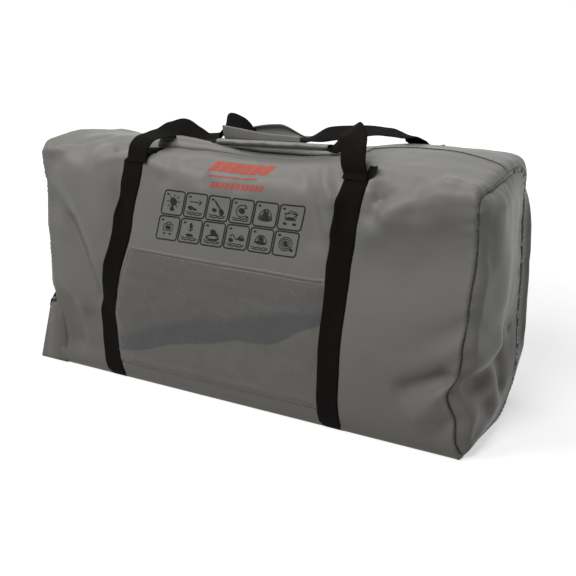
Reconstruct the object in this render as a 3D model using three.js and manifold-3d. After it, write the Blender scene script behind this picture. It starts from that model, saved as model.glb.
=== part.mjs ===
// Liferaft valise: a packed soft bag with two girth webbings, two carry handles
// and a clear document pocket. Millimetres, +X along the bag, -Y the front, +Z up.
// The origin is the centre of the flat base that the bag stands on.

import * as THREE from 'three';
import { mergeVertices } from 'three/addons/utils/BufferGeometryUtils.js';
import Module from 'manifold-3d';

const wasm = await Module();
wasm.setup();

// Driving dimensions of the bag
const bagLength = 760;
const bagDepth = 250;
const bagHeight = 398;
const frontBelly = 3;
const backBelly = 9;
const endBelly = 16;
const crownRight = 25;
const crownRightPlace = 235;
const crownRightSpan = 108;
const crownLeft = 3;
const crownLeftPlace = -190;
const crownLeftSpan = 110;

// Edge and corner radii of the sewn shell
const seamRadius = 5;
const backCornerRadius = 42;
const baseFrontRadius = 9;
const baseBackRadius = 34;
const baseBackEndRadius = 70;
const shoulderFrontRadius = 46;
const shoulderBackRadius = 105;
const shoulderEndRadius = 14;
const shoulderBackEndRadius = 44;
const shoulderBlend = 150;
const shoulderTightLeft = 180;

// Right end: the front seam leans in towards the base and is dented above its foot
const endLean = 18;
const endNotch = 20;
const endNotchHeight = 98;
const endNotchSpan = 24;
const endFoot = 15;
const endFootSpan = 20;

// Webbing and film
const webbingWidth = 38;
const webbingThickness = 2.2;
const webbingProud = 1.2;
const webbingPinch = 5;
const pinchSpan = 30;
const clearance = 0.3;
const cutHeight = 7;

// Routes of the two girth webbings down the front, as [height, place along X]
const leftRoute = [[0, -250], [50, -263], [110, -265], [160, -252], [260, -214], [350, -186], [400, -174]];
const rightRoute = [[0, 166], [50, 161], [130, 164], [260, 178], [350, 195], [400, 204]];
const leftRearPlace = -225;
const rightRearPlace = 226;
const leftStrapReach = 0.32;
const rightStrapReach = 0.06;
const rearStrapReach = 0.14;

const leftGirth = { route: leftRoute, rearPlace: leftRearPlace, reach: leftStrapReach };
const rightGirth = { route: rightRoute, rearPlace: rightRearPlace, reach: rightStrapReach };

// Clear pocket on the front
const pocketBottom = 31;
const pocketTop = 234;
const pocketFilm = 1;
const hemHeight = 9;
const hemThickness = 1.6;

// Closure on the top, between the girth webbings
const lipWidth = 24;
const lipThickness = 4.5;
const flapWidth = 34;
const flapThickness = 2.5;
const mouthGap = 2;
const mouthOpening = 1.8;
const mouthPlace = 82;
const mouthSpan = 36;
const mouthDepth = 11;
const closureDistance = 66;
const sunkDepth = 1;

// Carry handles and their grips
const frontHandleHeight = 12.5;
const frontHandleDistance = 85;
const humpRise = 31;
const foldRise = 54;
const gripLength = 197;
const gripPlace = 22;
const gripWidth = 42;
const gripThickness = 9.5;
const gripSlope = 8.5;
const gripTilt = 0.26;
const rearHandleDistance = 139;
const rearHandleHeight = 12;
const rearArcRise = 34;
const rearGripLength = 140;
const rearGripPlace = -24;
const rearGripSheet = 2.2;
const frontFlapHeight = 26;
const frontFlapFall = 14;
const rearFlapHeight = 27;
const knotRise = 24;
const lapRoom = 0.6;
const lapShares = 0.13;
const tailReach = 9;
const tailLift = 10;

// Pocket on the left end
const endPocketHeight = 112;
const endPocketTopReach = 10;
const endPocketFootReach = 44;
const endPocketFront = 121;
const endPocketRear = 46;
const endPocketLift = 1.5;
const mouthWebbingWidth = 30;
const mouthWebbingRise = 8;

// Grid of the shell
const columns = 44;
const acrossSegments = 10;
const upSegments = 16;

const halfLength = bagLength / 2;
const halfDepth = bagDepth / 2;

const clamp01 = (value) => Math.min(1, Math.max(0, value));
const mix = (a, b, t) => a + (b - a) * t;

const vector = (x, y, z) => new THREE.Vector3(x, y, z);

function smooth(value) {
  const t = clamp01(value);
  return t * t * (3 - 2 * t);
}

function hill(distance, span) {
  return Math.exp(-((distance / span) ** 2));
}

// Place along X of a route at a height
function routeAt(route, height) {
  const last = route.length - 1;
  if (height <= route[0][0]) return route[0][1];
  if (height >= route[last][0]) return route[last][1];
  let i = 0;
  while (route[i + 1][0] < height) i += 1;
  const span = route[i + 1][0] - route[i][0];
  return mix(route[i][1], route[i + 1][1], smooth((height - route[i][0]) / span) * 0.5
    + 0.5 * (height - route[i][0]) / span);
}

// Folds of the shell: a line from one point to another, how far the fabric stands out
// from the even form there (in when negative) and how wide the fold is
const folds = [
  { from: [-352, -118, 372], to: [-292, -60, 404], out: -9, span: 16 },
  { from: [-250, -60, 404], to: [-226, -122, 330], out: -8, span: 15 },
  { from: [-272, -118, 396], to: [-250, -124, 300], out: 7, span: 22 },
  { from: [-330, -124, 262], to: [-286, -124, 140], out: -8, span: 17 },
  { from: [-360, -124, 250], to: [-318, -124, 120], out: 6, span: 20 },
  { from: [-346, -122, 120], to: [-336, -122, 20], out: -7, span: 16 },
  { from: [150, -118, 392], to: [170, -124, 320], out: 8, span: 17 },
  { from: [120, -112, 400], to: [140, -124, 300], out: -6, span: 16 },
  { from: [244, -118, 396], to: [232, -124, 350], out: -9, span: 14 },
  { from: [258, -122, 352], to: [330, -118, 384], out: 7, span: 18 },
  { from: [300, -112, 392], to: [296, -120, 362], out: -6, span: 12 },
  { from: [352, -124, 126], to: [292, -124, 92], out: -10, span: 17 },
  { from: [360, -122, 92], to: [316, -122, 60], out: 6, span: 17 },
  { from: [370, -120, 60], to: [345, -120, 25], out: -5, span: 14 },
  { from: [-120, -110, 400], to: [-128, -122, 360], out: -5, span: 13 },
  { from: [-60, -110, 400], to: [-56, -122, 366], out: -5, span: 13 },
  { from: [20, -110, 400], to: [12, -122, 368], out: -4, span: 13 },
  { from: [330, 120, 350], to: [380, 100, 354], out: -9, span: 14 },
  { from: [340, 104, 386], to: [380, 90, 382], out: 6, span: 18 },
  { from: [300, 128, 300], to: [200, 130, 120], out: -6, span: 26 },
  { from: [-300, 128, 320], to: [-190, 130, 160], out: -6, span: 26 },
  { from: [60, 130, 350], to: [40, 130, 60], out: 5, span: 34 },
  { from: [-80, 130, 340], to: [-96, 130, 90], out: -5, span: 24 },
  { from: [-380, 60, 396], to: [-250, 100, 392], out: -14, span: 55 },
];

// Folds of the end panels, as [distance along Y, height], in or out along X
const endFolds = [
  { from: [-118, 124], to: [-40, 60], out: -10, span: 20 },
  { from: [-118, 134], to: [-30, 150], out: 7, span: 22 },
  { from: [10, 230], to: [26, 70], out: -9, span: 20 },
  { from: [-70, 372], to: [-30, 210], out: 7, span: 26 },
  { from: [-104, 366], to: [-86, 300], out: -7, span: 16 },
  { from: [58, 340], to: [66, 200], out: 6, span: 22 },
];

function distanceToLine(point, from, to) {
  let along = 0;
  let length2 = 0;
  for (let i = 0; i < point.length; i += 1) {
    along += (point[i] - from[i]) * (to[i] - from[i]);
    length2 += (to[i] - from[i]) ** 2;
  }
  const t = clamp01(along / length2);
  return Math.hypot(...point.map((value, i) => value - mix(from[i], to[i], t)));
}

function edgeInset(x, radius) {
  const past = Math.abs(x) - (halfLength - radius);
  return past <= 0 ? 0 : radius - Math.sqrt(Math.max(0, radius * radius - past * past));
}

// The four sides of the section at x, in the order base, front, top, back. Each side runs
// from the middle of one rounded corner to the middle of the next.
function sidesAt(x) {
  const inner = smooth((halfLength - Math.abs(x)) / shoulderBlend);
  const front = -halfDepth + edgeInset(x, seamRadius);
  const back = halfDepth - edgeInset(x, backCornerRadius);
  const low = edgeInset(x, seamRadius);
  const high = bagHeight - edgeInset(x, shoulderEndRadius);
  const baseBack = mix(baseBackEndRadius, baseBackRadius, inner);
  const tight = x < 0 ? shoulderTightLeft : 0;
  const frontInner = smooth((halfLength - Math.abs(x) - tight) / shoulderBlend);
  const shoulderFront = mix(shoulderEndRadius, shoulderFrontRadius, frontInner);
  const shoulderBack = mix(shoulderBackEndRadius, shoulderBackRadius, inner);
  const deep = back - front;
  const tall = high - low;
  const side = (start, along, inward, length, radii) => ({ start, along, inward, length, radii });
  return [
    side([back, low], [-1, 0], [0, 1], deep, [baseBack, baseFrontRadius]),
    side([front, low], [0, 1], [1, 0], tall, [baseFrontRadius, shoulderFront]),
    side([front, high], [1, 0], [0, -1], deep, [shoulderFront, shoulderBack]),
    side([back, high], [0, -1], [-1, 0], tall, [shoulderBack, baseBack]),
  ];
}

const arcShare = 0.2;

// Point and outward normal of the even section at x; u counts the sides from the base's rear
function evenPoint(x, u) {
  const turn = ((u % 4) + 4) % 4;
  const side = sidesAt(x)[Math.floor(turn)];
  const t = turn - Math.floor(turn);
  const [first, second] = side.radii;
  let along = mix(first, side.length - second, clamp01((t - arcShare) / (1 - 2 * arcShare)));
  let inward = 0;
  let lean = 0;
  if (t < arcShare) {
    const angle = (Math.PI / 4) * (1 - t / arcShare);
    along = first - first * Math.sin(angle);
    inward = first - first * Math.cos(angle);
    lean = -angle;
  } else if (t > 1 - arcShare) {
    const angle = (Math.PI / 4) * (1 - (1 - t) / arcShare);
    along = side.length - second + second * Math.sin(angle);
    inward = second - second * Math.cos(angle);
    lean = angle;
  }
  const point = [0, 1].map((i) => side.start[i] + side.along[i] * along + side.inward[i] * inward);
  const normal = [0, 1].map((i) => side.along[i] * Math.sin(lean) - side.inward[i] * Math.cos(lean));
  return { y: point[0], z: point[1], ny: normal[0], nz: normal[1] };
}

function crownAt(x) {
  return crownRight * hill(x - crownRightPlace, crownRightSpan)
    + crownLeft * hill(x - crownLeftPlace, crownLeftSpan);
}

// How far the fabric stands out from the even section at a point
function standOut(x, even) {
  const { y, z, ny, nz } = even;
  const lengthwise = 1 - (x / halfLength) ** 4;
  const upright = 1 - (2 * z / bagHeight - 1) ** 2;
  let out = frontBelly * clamp01(-ny) * upright * lengthwise;
  out += backBelly * clamp01(ny) * upright * lengthwise;
  out += crownAt(x) * clamp01(nz) * (1 - 0.6 * (y / halfDepth) ** 2);
  const leftPlace = ny < 0 ? routeAt(leftRoute, z) : leftRearPlace;
  const rightPlace = ny < 0 ? routeAt(rightRoute, z) : rightRearPlace;
  const pinch = hill(x - leftPlace, pinchSpan) + hill(x - rightPlace, pinchSpan);
  out -= webbingPinch * Math.abs(ny) * pinch * upright;
  for (const fold of folds) {
    out += fold.out * hill(distanceToLine([x, y, z], fold.from, fold.to), fold.span);
  }
  return out * smooth((z - baseFrontRadius) / 40);
}

// Shift of the right end along X, strongest at its front seam
function endShift(y, z) {
  const nearFront = smooth((60 - y) / 160);
  const lean = endLean * (smooth((z - 60) / 300) - 0.75);
  const notch = -endNotch * hill(z - endNotchHeight, endNotchSpan);
  const foot = endFoot * hill(z, endFootSpan);
  const rear = 10 * hill(z - 230, 130) * (1 - nearFront);
  return nearFront * (lean + notch + foot) + rear;
}

// Point of the shell at x and u, raised by an offset along its normal
function skin(x, u, offset = 0) {
  const even = evenPoint(x, u);
  const out = standOut(x, even) + offset;
  const point = new THREE.Vector3(x, even.y + even.ny * out, even.z + even.nz * out);
  if (x > 0) {
    point.x += endShift(even.y, even.z) * (x / halfLength) ** 6;
  }
  return point;
}

// Share of the front side at a height, for the skin of the column at x
function frontShare(x, height) {
  const side = sidesAt(x)[1];
  const t = (height - side.radii[0]) / (side.length - side.radii[0] - side.radii[1]);
  return 1 + arcShare + (1 - 2 * arcShare) * clamp01(t);
}

// Share of the top side at a distance along Y
function topShare(x, y) {
  const side = sidesAt(x)[2];
  const along = y - side.start[0];
  const t = (along - side.radii[0]) / (side.length - side.radii[0] - side.radii[1]);
  return 2 + arcShare + (1 - 2 * arcShare) * t;
}

function solidFromArrays(positions, indices) {
  const geometry = new THREE.BufferGeometry();
  geometry.setAttribute('position', new THREE.Float32BufferAttribute(positions, 3));
  geometry.setIndex(indices);
  return toManifold(geometry);
}

function toManifold(source) {
  const bare = new THREE.BufferGeometry();
  bare.setAttribute('position', source.getAttribute('position').clone());
  if (source.index) bare.setIndex(source.index.clone());
  const merged = mergeVertices(bare, 1e-5);
  return new wasm.Manifold(new wasm.Mesh({
    numProp: 3,
    vertProperties: new Float32Array(merged.getAttribute('position').array),
    triVerts: new Uint32Array(merged.index.array),
  }));
}

function toGeometry(solid) {
  const mesh = solid.getMesh();
  const geometry = new THREE.BufferGeometry();
  const corners = new Float32Array(mesh.numVert * 3);
  for (let i = 0; i < mesh.numVert; i += 1) {
    for (let k = 0; k < 3; k += 1) corners[i * 3 + k] = mesh.vertProperties[i * mesh.numProp + k];
  }
  geometry.setAttribute('position', new THREE.BufferAttribute(corners, 3));
  geometry.setIndex(new THREE.BufferAttribute(new Uint32Array(mesh.triVerts), 1));
  const flat = geometry.toNonIndexed();
  flat.computeVertexNormals();
  return flat;
}

// Largest connected piece of a solid, without the slivers that a cut can leave
function mainPiece(solid) {
  const pieces = solid.decompose();
  pieces.sort((a, b) => b.volume() - a.volume());
  return pieces[0];
}

// Closed solid through a row of sections, each a loop of points with the same count
function sweep(sections) {
  const count = sections[0].length;
  const positions = sections.flat().flatMap((point) => [point.x, point.y, point.z]);
  const indices = [];
  for (let i = 0; i + 1 < sections.length; i += 1) {
    for (let j = 0; j < count; j += 1) {
      const a = i * count + j;
      const b = i * count + ((j + 1) % count);
      indices.push(a, b, b + count, a, b + count, a + count);
    }
  }
  const lastRow = (sections.length - 1) * count;
  const half = count / 2;
  for (let j = 0; j + 1 < half; j += 1) {
    const k = count - 1 - j;
    indices.push(j, k, j + 1, j + 1, k, k - 1);
    indices.push(lastRow + j, lastRow + j + 1, lastRow + k, lastRow + j + 1, lastRow + k - 1, lastRow + k);
  }
  let volume = 0;
  for (let i = 0; i < indices.length; i += 3) {
    const [a, b, c] = [0, 1, 2].map((k) => new THREE.Vector3().fromArray(positions, indices[i + k] * 3));
    volume += a.dot(b.cross(c));
  }
  if (volume < 0) {
    for (let i = 0; i < indices.length; i += 3) {
      [indices[i], indices[i + 1]] = [indices[i + 1], indices[i]];
    }
  }
  return solidFromArrays(positions, indices);
}

// The shell as one closed solid: a tube of sections with a panel at each end
function shell(offset = 0) {
  const perimeter = 2 * (acrossSegments + upSegments);
  const ringShare = [];
  for (let side = 0; side < 4; side += 1) {
    const steps = side % 2 === 0 ? acrossSegments : upSegments;
    for (let i = 0; i < steps; i += 1) ringShare.push(side + i / steps);
  }
  const positions = [];
  const indices = [];
  const add = (point) => positions.push(point.x, point.y, point.z) / 3 - 1;
  for (let i = 0; i <= columns; i += 1) {
    const a = (2 * i) / columns - 1;
    const x = Math.sign(a) * halfLength * (1 - (1 - Math.abs(a)) ** 1.25);
    for (const u of ringShare) {
      const point = skin(x, u, offset);
      point.x += (offset * x) / halfLength;
      add(point);
    }
  }
  for (let i = 0; i < columns; i += 1) {
    for (let j = 0; j < perimeter; j += 1) {
      const a = i * perimeter + j;
      const b = i * perimeter + ((j + 1) % perimeter);
      indices.push(a, b + perimeter, b, a, a + perimeter, b + perimeter);
    }
  }
  for (const sign of [-1, 1]) {
    const first = sign < 0 ? 0 : columns * perimeter;
    const ringPoint = (j) => new THREE.Vector3().fromArray(positions, (first + (j % perimeter)) * 3);
    const grid = [];
    for (let row = 0; row <= upSegments; row += 1) {
      grid.push([]);
      for (let column = 0; column <= acrossSegments; column += 1) {
        const baseJ = acrossSegments - column;
        const topJ = acrossSegments + upSegments + column;
        const frontJ = acrossSegments + row;
        const backJ = (2 * acrossSegments + 2 * upSegments - row) % perimeter;
        let vertex;
        if (row === 0) vertex = first + (baseJ % perimeter);
        else if (row === upSegments) vertex = first + topJ;
        else if (column === 0) vertex = first + frontJ;
        else if (column === acrossSegments) vertex = first + backJ;
        else {
          const s = column / acrossSegments;
          const t = row / upSegments;
          const point = new THREE.Vector3();
          point.addScaledVector(ringPoint(frontJ), 1 - s);
          point.addScaledVector(ringPoint(backJ), s);
          point.addScaledVector(ringPoint(baseJ), 1 - t);
          point.addScaledVector(ringPoint(topJ), t);
          point.addScaledVector(ringPoint(acrossSegments), -(1 - s) * (1 - t));
          point.addScaledVector(ringPoint(0), -s * (1 - t));
          point.addScaledVector(ringPoint(acrossSegments + upSegments), -(1 - s) * t);
          point.addScaledVector(ringPoint(2 * acrossSegments + upSegments), -s * t);
          point.x += sign * endRise(s, t, point.y, point.z);
          vertex = add(point);
        }
        grid[row].push(vertex);
      }
    }
    for (let row = 0; row < upSegments; row += 1) {
      for (let column = 0; column < acrossSegments; column += 1) {
        const [a, b] = [grid[row][column], grid[row][column + 1]];
        const [d, c] = [grid[row + 1][column], grid[row + 1][column + 1]];
        if (sign > 0) indices.push(a, b, c, a, c, d);
        else indices.push(a, c, b, a, d, c);
      }
    }
  }
  return solidFromArrays(positions, indices);
}

// How far an end panel swells past its seams, at shares across and up
function endSwell(s, t) {
  return endBelly * (1 - (2 * s - 1) ** 4) * (1 - (2 * t - 1) ** 4);
}

function endRise(s, t, y, z) {
  const swell = endSwell(s, t);
  let creased = 0;
  for (const fold of endFolds) {
    creased += fold.out * hill(distanceToLine([y, z], fold.from, fold.to), fold.span);
  }
  return swell + creased * (1 - (2 * s - 1) ** 8) * (1 - (2 * t - 1) ** 8);
}

// One girth webbing, sunk into the shell: over the front shoulder, down, under and up the
// back. Grown, it is the cut that lets the webbing into the shell
function girthWebbing({ route, rearPlace, reach }, grow = 0, above = cutHeight) {
  const firstShare = 2 + reach + grow / bagDepth;
  const lastShare = -1 - rearStrapReach - grow / bagDepth;
  const steps = 72;
  const sections = [];
  for (let i = 0; i <= steps; i += 1) {
    const u = mix(firstShare, lastShare, i / steps);
    const onFront = evenPoint(0, u);
    const frontPlace = routeAt(route, onFront.z);
    let place = frontPlace;
    if (u < 1) place = mix(rearPlace, route[0][1], smooth(clamp01(u)));
    if (u < 0) place = rearPlace;
    const under = smooth((u + 0.25) / 0.2) * smooth((1.25 - u) / 0.2);
    const outer = mix(webbingProud, 0, under) + (grow > 0 ? above : 0);
    const inner = mix(webbingProud, 0, under) - webbingThickness - grow;
    const half = webbingWidth / 2 + grow;
    const across = [-1, -1 / 3, 1 / 3, 1].map((w) => place + w * half);
    const loop = across.map((x) => skin(x, u, outer));
    across.reverse().forEach((x) => loop.push(skin(x, u, inner)));
    sections.push(loop);
  }
  return sweep(sections);
}

// A webbing through hand-set stations, each with a centre and a direction across its width
function freeWebbing(stations, grow = 0, steps = 88) {
  const centres = new THREE.CatmullRomCurve3(stations.map((s) => s.centre), false, 'centripetal');
  const count = stations.length - 1;
  const sections = [];
  for (let i = 0; i <= steps; i += 1) {
    const t = i / steps;
    const centre = centres.getPoint(t);
    const tangent = centres.getTangent(t);
    const k = Math.min(count - 1, Math.floor(t * count));
    const across = stations[k].across.clone().lerp(stations[k + 1].across, smooth(t * count - k));
    across.addScaledVector(tangent, -across.dot(tangent)).normalize();
    const normal = tangent.clone().cross(across).normalize();
    const half = webbingWidth / 2 + grow;
    const thick = webbingThickness / 2 + grow;
    const corner = (w, n) => centre.clone()
      .addScaledVector(across, w * half)
      .addScaledVector(normal, n * thick);
    sections.push([corner(-1, 1), corner(0, 1), corner(1, 1), corner(1, -1), corner(0, -1), corner(-1, -1)]);
  }
  return sweep(sections);
}

// A sheet laid on the shell between two offsets: columns along X, rows along the section.
// Grown, it is the cut that lets the sheet into the shell and clears what lies above it
function laidSheet(xAt, shareAt, low, high, grow, columnCount, rowCount) {
  const inner = low - grow;
  const outer = high + (grow > 0 ? cutHeight : 0);
  const sections = [];
  for (let i = 0; i <= columnCount; i += 1) {
    const loop = [];
    for (let j = 0; j <= rowCount; j += 1) {
      const x = xAt(i / columnCount, j / rowCount);
      loop.push(skin(x, shareAt(x, j / rowCount), outer));
    }
    for (let j = rowCount; j >= 0; j -= 1) {
      const x = xAt(i / columnCount, j / rowCount);
      loop.push(skin(x, shareAt(x, j / rowCount), inner));
    }
    sections.push(loop);
  }
  return sweep(sections);
}

// Clear pocket film and the stitched hem along its mouth
const betweenWebbings = (height, s, grow) => mix(
  routeAt(leftRoute, height) + webbingWidth / 2 + clearance - grow + 0.8,
  routeAt(rightRoute, height) - webbingWidth / 2 - clearance + grow - 0.8,
  s,
);

function windowPocket(grow = 0) {
  const low = pocketBottom - grow;
  const high = pocketTop - clearance + grow;
  return laidSheet(
    (s, t) => betweenWebbings(mix(low, high, t), s, grow),
    (x, t) => frontShare(x, mix(low, high, t)),
    -pocketFilm / 2,
    pocketFilm / 2,
    grow,
    18,
    9,
  );
}

function pocketHem(grow = 0) {
  const low = pocketTop - grow;
  const high = pocketTop + hemHeight + grow;
  return laidSheet(
    (s, t) => betweenWebbings(mix(low, high, t), s, grow),
    (x, t) => frontShare(x, mix(low, high, t)),
    -hemThickness / 2,
    hemThickness / 2,
    grow,
    18,
    1,
  );
}

// Closure on the top: a folded lip in front of a flatter rear flap, with the mouth between
const closureEnds = (s) => mix(
  leftRoute[leftRoute.length - 1][1] + webbingWidth / 2 + 4,
  rightRoute[rightRoute.length - 1][1] - webbingWidth / 2 - 6,
  s,
);
const closureY = -halfDepth + closureDistance;

function closureLip(grow = 0) {
  return laidSheet(
    (s) => closureEnds(s) + (s < 0.5 ? -grow : grow),
    (x, t) => topShare(x, mix(closureY - grow, closureY + lipWidth + grow, t)),
    -sunkDepth,
    lipThickness - sunkDepth,
    grow,
    22,
    3,
  );
}

function closureFlap(grow = 0) {
  const front = (x) => closureY + lipWidth + mouthGap + mouthOpening * hill(x - mouthPlace, mouthSpan);
  return laidSheet(
    (s) => closureEnds(s) + (s < 0.5 ? -grow : grow),
    (x, t) => topShare(x, mix(front(x) - grow, closureY + lipWidth + flapWidth + grow, t)),
    -sunkDepth,
    flapThickness - sunkDepth,
    grow,
    22,
    2,
  );
}

// Stations of a webbing that lies on the skin, from one share of the section to another
function lapStations(place, fromShare, toShare, count, direction) {
  const offset = webbingProud + clearance + webbingThickness / 2 + lapRoom;
  const stations = [];
  for (let i = 0; i < count; i += 1) {
    const share = mix(fromShare, toShare, i / (count - 1));
    stations.push({ centre: skin(place, share, offset), across: vector(direction, 0, 0) });
  }
  return stations;
}

// Front carry handle: lapped on the left webbing, over a hump, through the grip, up to a
// fold and down over the right webbing
function frontHandleStations() {
  const leftX = routeAt(leftRoute, bagHeight);
  const rightX = routeAt(rightRoute, bagHeight);
  const y = -halfDepth + frontHandleDistance;
  const left = gripPlace - gripLength / 2;
  const right = gripPlace + gripLength / 2;
  const gripZ = (x) => bagHeight + frontHandleHeight + gripSlope * clamp01((x - left) / gripLength);
  const hump = bagHeight + humpRise;
  const fold = bagHeight + foldRise;
  const flat = [0, -Math.cos(gripTilt), Math.sin(gripTilt)];
  const station = (x, along, z, ax, ay, az) => ({ centre: vector(x, along, z), across: vector(ax, ay, az) });
  return [
    ...lapStations(leftX - 2, 1.84, 1.93, 3, 1),
    station(leftX, y - 80, hump - 21, 1, 0, -0.06),
    station(leftX + 2, y - 68, hump - 11, 1, -0.05, -0.1),
    station(leftX + 5, y - 52, hump - 8, 0.97, -0.2, -0.12),
    station(leftX + 10, y - 32, hump - 7, 0.85, -0.45, -0.25),
    station(leftX + 19, y - 14, hump - 3, 0.4, -0.72, -0.55),
    station(leftX + 31, y - 4, hump - 1, 0.1, -0.76, -0.62),
    station(leftX + 49, y - 1, hump - 10, 0, -0.86, -0.5),
    station(leftX + 71, y, hump - 17, 0, -0.95, -0.25),
    station(left - 12, y, gripZ(left) + 1, 0, -1, 0.05),
    station(left + 12, y, gripZ(left + 12), ...flat),
    station(gripPlace, y, gripZ(gripPlace), ...flat),
    station(right - 12, y, gripZ(right - 12), ...flat),
    station(right + 14, y - 5, gripZ(right) + 11, 0.12, -0.66, -0.74),
    station(right + 32, y - 12, fold - 12, 0.1, -0.68, -0.72),
    station(rightX - 35, y - 26, fold + 1, -0.35, -0.8, -0.45),
    station(rightX - 21, y - 45, fold - 3, -0.8, -0.55, -0.1),
    station(rightX - 13, y - 62, fold - 18, -1, -0.1, 0),
    station(rightX - 8, y - 72, fold - 36, -1, 0, 0),
    ...lapStations(rightX - 4, 2.045, 2.012, 3, -1),
  ];
}

// Rear carry handle: from the left webbing through a twist, the open grip and a high arc
function rearHandleStations() {
  const y = -halfDepth + rearHandleDistance;
  const lapShare = 3 - rearStrapReach;
  const gripZ = bagHeight + rearHandleHeight;
  const left = rearGripPlace - rearGripLength / 2;
  const right = rearGripPlace + rearGripLength / 2;
  const arc = bagHeight + rearArcRise;
  const station = (x, along, z, ax, ay, az) => ({ centre: vector(x, along, z), across: vector(ax, ay, az) });
  return [
    ...lapStations(leftRearPlace, lapShare + lapShares, lapShare, 4, 1),
    station(leftRearPlace + 26, y + 18, bagHeight + 4, 0.7, 0.7, -0.1),
    station(leftRearPlace + 62, y + 14, bagHeight + 5, 0.1, 0.98, 0),
    station(left - 18, y + 10, bagHeight + 14, 0, 0.93, 0.35),
    station(left - 4, y + 6, bagHeight + knotRise, 0, 0.8, 0.55),
    station(left + 16, y, gripZ, 0, 1, 0),
    station(rearGripPlace, y, gripZ + 2, 0, 1, 0),
    station(right - 8, y, gripZ + 5, 0, 1, 0),
    station(right + 34, y + 5, arc - 6, 0, 0.87, 0.5),
    station(right + 82, y + 10, arc + 1, 0, 0.92, 0.38),
    station(right + 130, y + 10, arc + 5, 0, 0.98, 0.15),
    station(rightRearPlace - 22, y + 14, arc + 2, -0.35, 0.93, 0.1),
    station(rightRearPlace - 8, y + 26, arc - 2, -0.9, 0.4, 0),
    ...lapStations(rightRearPlace - 4, lapShare, lapShare + lapShares - 0.03, 4, -1),
  ];
}

// Closed grip: a flat padded wrap round the front handle
function frontGrip() {
  const y = -halfDepth + frontHandleDistance;
  const sections = [];
  for (const s of [0, 0.05, 0.35, 0.65, 0.95, 1]) {
    const x = gripPlace + gripLength * (s - 0.5);
    const z = bagHeight + frontHandleHeight + gripSlope * s;
    const loop = [];
    const arcSteps = 8;
    for (let i = 0; i < 2 * arcSteps; i += 1) {
      const angle = -Math.PI / 2 + (2 * Math.PI * (i + 0.5)) / (2 * arcSteps);
      const round = Math.sign(Math.cos(angle)) * Math.abs(Math.cos(angle)) ** 0.6;
      const across = (gripWidth / 2) * round;
      const up = (gripThickness / 2) * Math.sin(angle);
      loop.push(vector(
        x,
        y + across * Math.cos(gripTilt) + up * Math.sin(gripTilt),
        z - across * Math.sin(gripTilt) + up * Math.cos(gripTilt),
      ));
    }
    sections.push(loop);
  }
  return sweep(sections);
}

// Open grip: one sheet bent up at the front and curled up at the rear
function rearGrip() {
  const y = -halfDepth + rearHandleDistance;
  const halfWidth = webbingWidth / 2 + 4;
  const sections = [];
  for (const s of [0, 0.2, 0.4, 0.6, 0.8, 1]) {
    const x = rearGripPlace + rearGripLength * (s - 0.5);
    const z = bagHeight + rearHandleHeight - webbingThickness / 2 - rearGripSheet - clearance - 0.6
      + 5 * smooth((s - 0.5) * 2);
    const curl = rearFlapHeight * Math.sin(Math.PI * (0.08 + 0.66 * s)) ** 0.8;
    const front = frontFlapHeight - frontFlapFall * s;
    const middle = [
      [-halfWidth - 5 * (1 - s), front],
      [-halfWidth - 3 * (1 - s), front * 0.55],
      [-halfWidth, 5],
      [-halfWidth + 5, 0],
      [0, 0],
      [halfWidth - 5, 0],
      [halfWidth, 5],
      [halfWidth + 1, curl * 0.6],
      [halfWidth - 6, curl],
    ];
    const outer = [];
    const inner = [];
    middle.forEach(([dy, dz], i) => {
      const before = middle[Math.max(0, i - 1)];
      const after = middle[Math.min(middle.length - 1, i + 1)];
      const direction = new THREE.Vector2(after[0] - before[0], after[1] - before[1]).normalize();
      outer.push(vector(x, y + dy, z + dz));
      inner.push(vector(x, y + dy - direction.y * rearGripSheet, z + dz + direction.x * rearGripSheet));
    });
    sections.push([...outer, ...inner.reverse()]);
  }
  return sweep(sections);
}

// Outer edge along X of the left end pocket at its mouth, at a place along Y
function pocketMouthX(y) {
  const across = (y + halfDepth) / bagDepth;
  return -halfLength - endPocketTopReach - endSwell(across, endPocketHeight / bagHeight);
}

// Pocket on the left end: a wedge that flares towards the base
function endPocketBlock() {
  const insideX = -halfLength + backCornerRadius;
  const sections = [];
  for (const s of [0, 0.06, 0.3, 0.5, 0.7, 0.94, 1]) {
    const y = mix(-endPocketFront, endPocketRear, s);
    const edge = smooth(Math.min(s, 1 - s) / 0.12);
    const topX = pocketMouthX(y) + 3 * (1 - edge);
    const footX = -halfLength - endPocketFootReach * mix(1, 0.75, s) - 3 * edge;
    sections.push([
      vector(footX, y, endPocketLift),
      vector(mix(footX, topX, 0.5) - 4 * edge, y, endPocketHeight * 0.45),
      vector(topX, y, endPocketHeight),
      vector(insideX, y, endPocketHeight),
      vector(insideX, y, endPocketHeight * 0.45),
      vector(insideX, y, endPocketLift),
    ]);
  }
  return sweep(sections);
}

// Webbing across the mouth of the end pocket, from its edge up to the end panel
function pocketMouthWebbing() {
  const sections = [];
  for (const s of [0, 0.25, 0.5, 0.75, 1]) {
    const y = mix(-endPocketFront, endPocketRear, s);
    const low = endPocketHeight + clearance;
    const outerX = pocketMouthX(y) - 1;
    sections.push([
      vector(outerX, y, low),
      vector(outerX + mouthWebbingWidth, y, low + mouthWebbingRise),
      vector(outerX + mouthWebbingWidth, y, low + mouthWebbingRise + webbingThickness),
      vector(outerX, y, low + webbingThickness),
    ]);
  }
  return sweep(sections);
}

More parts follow.
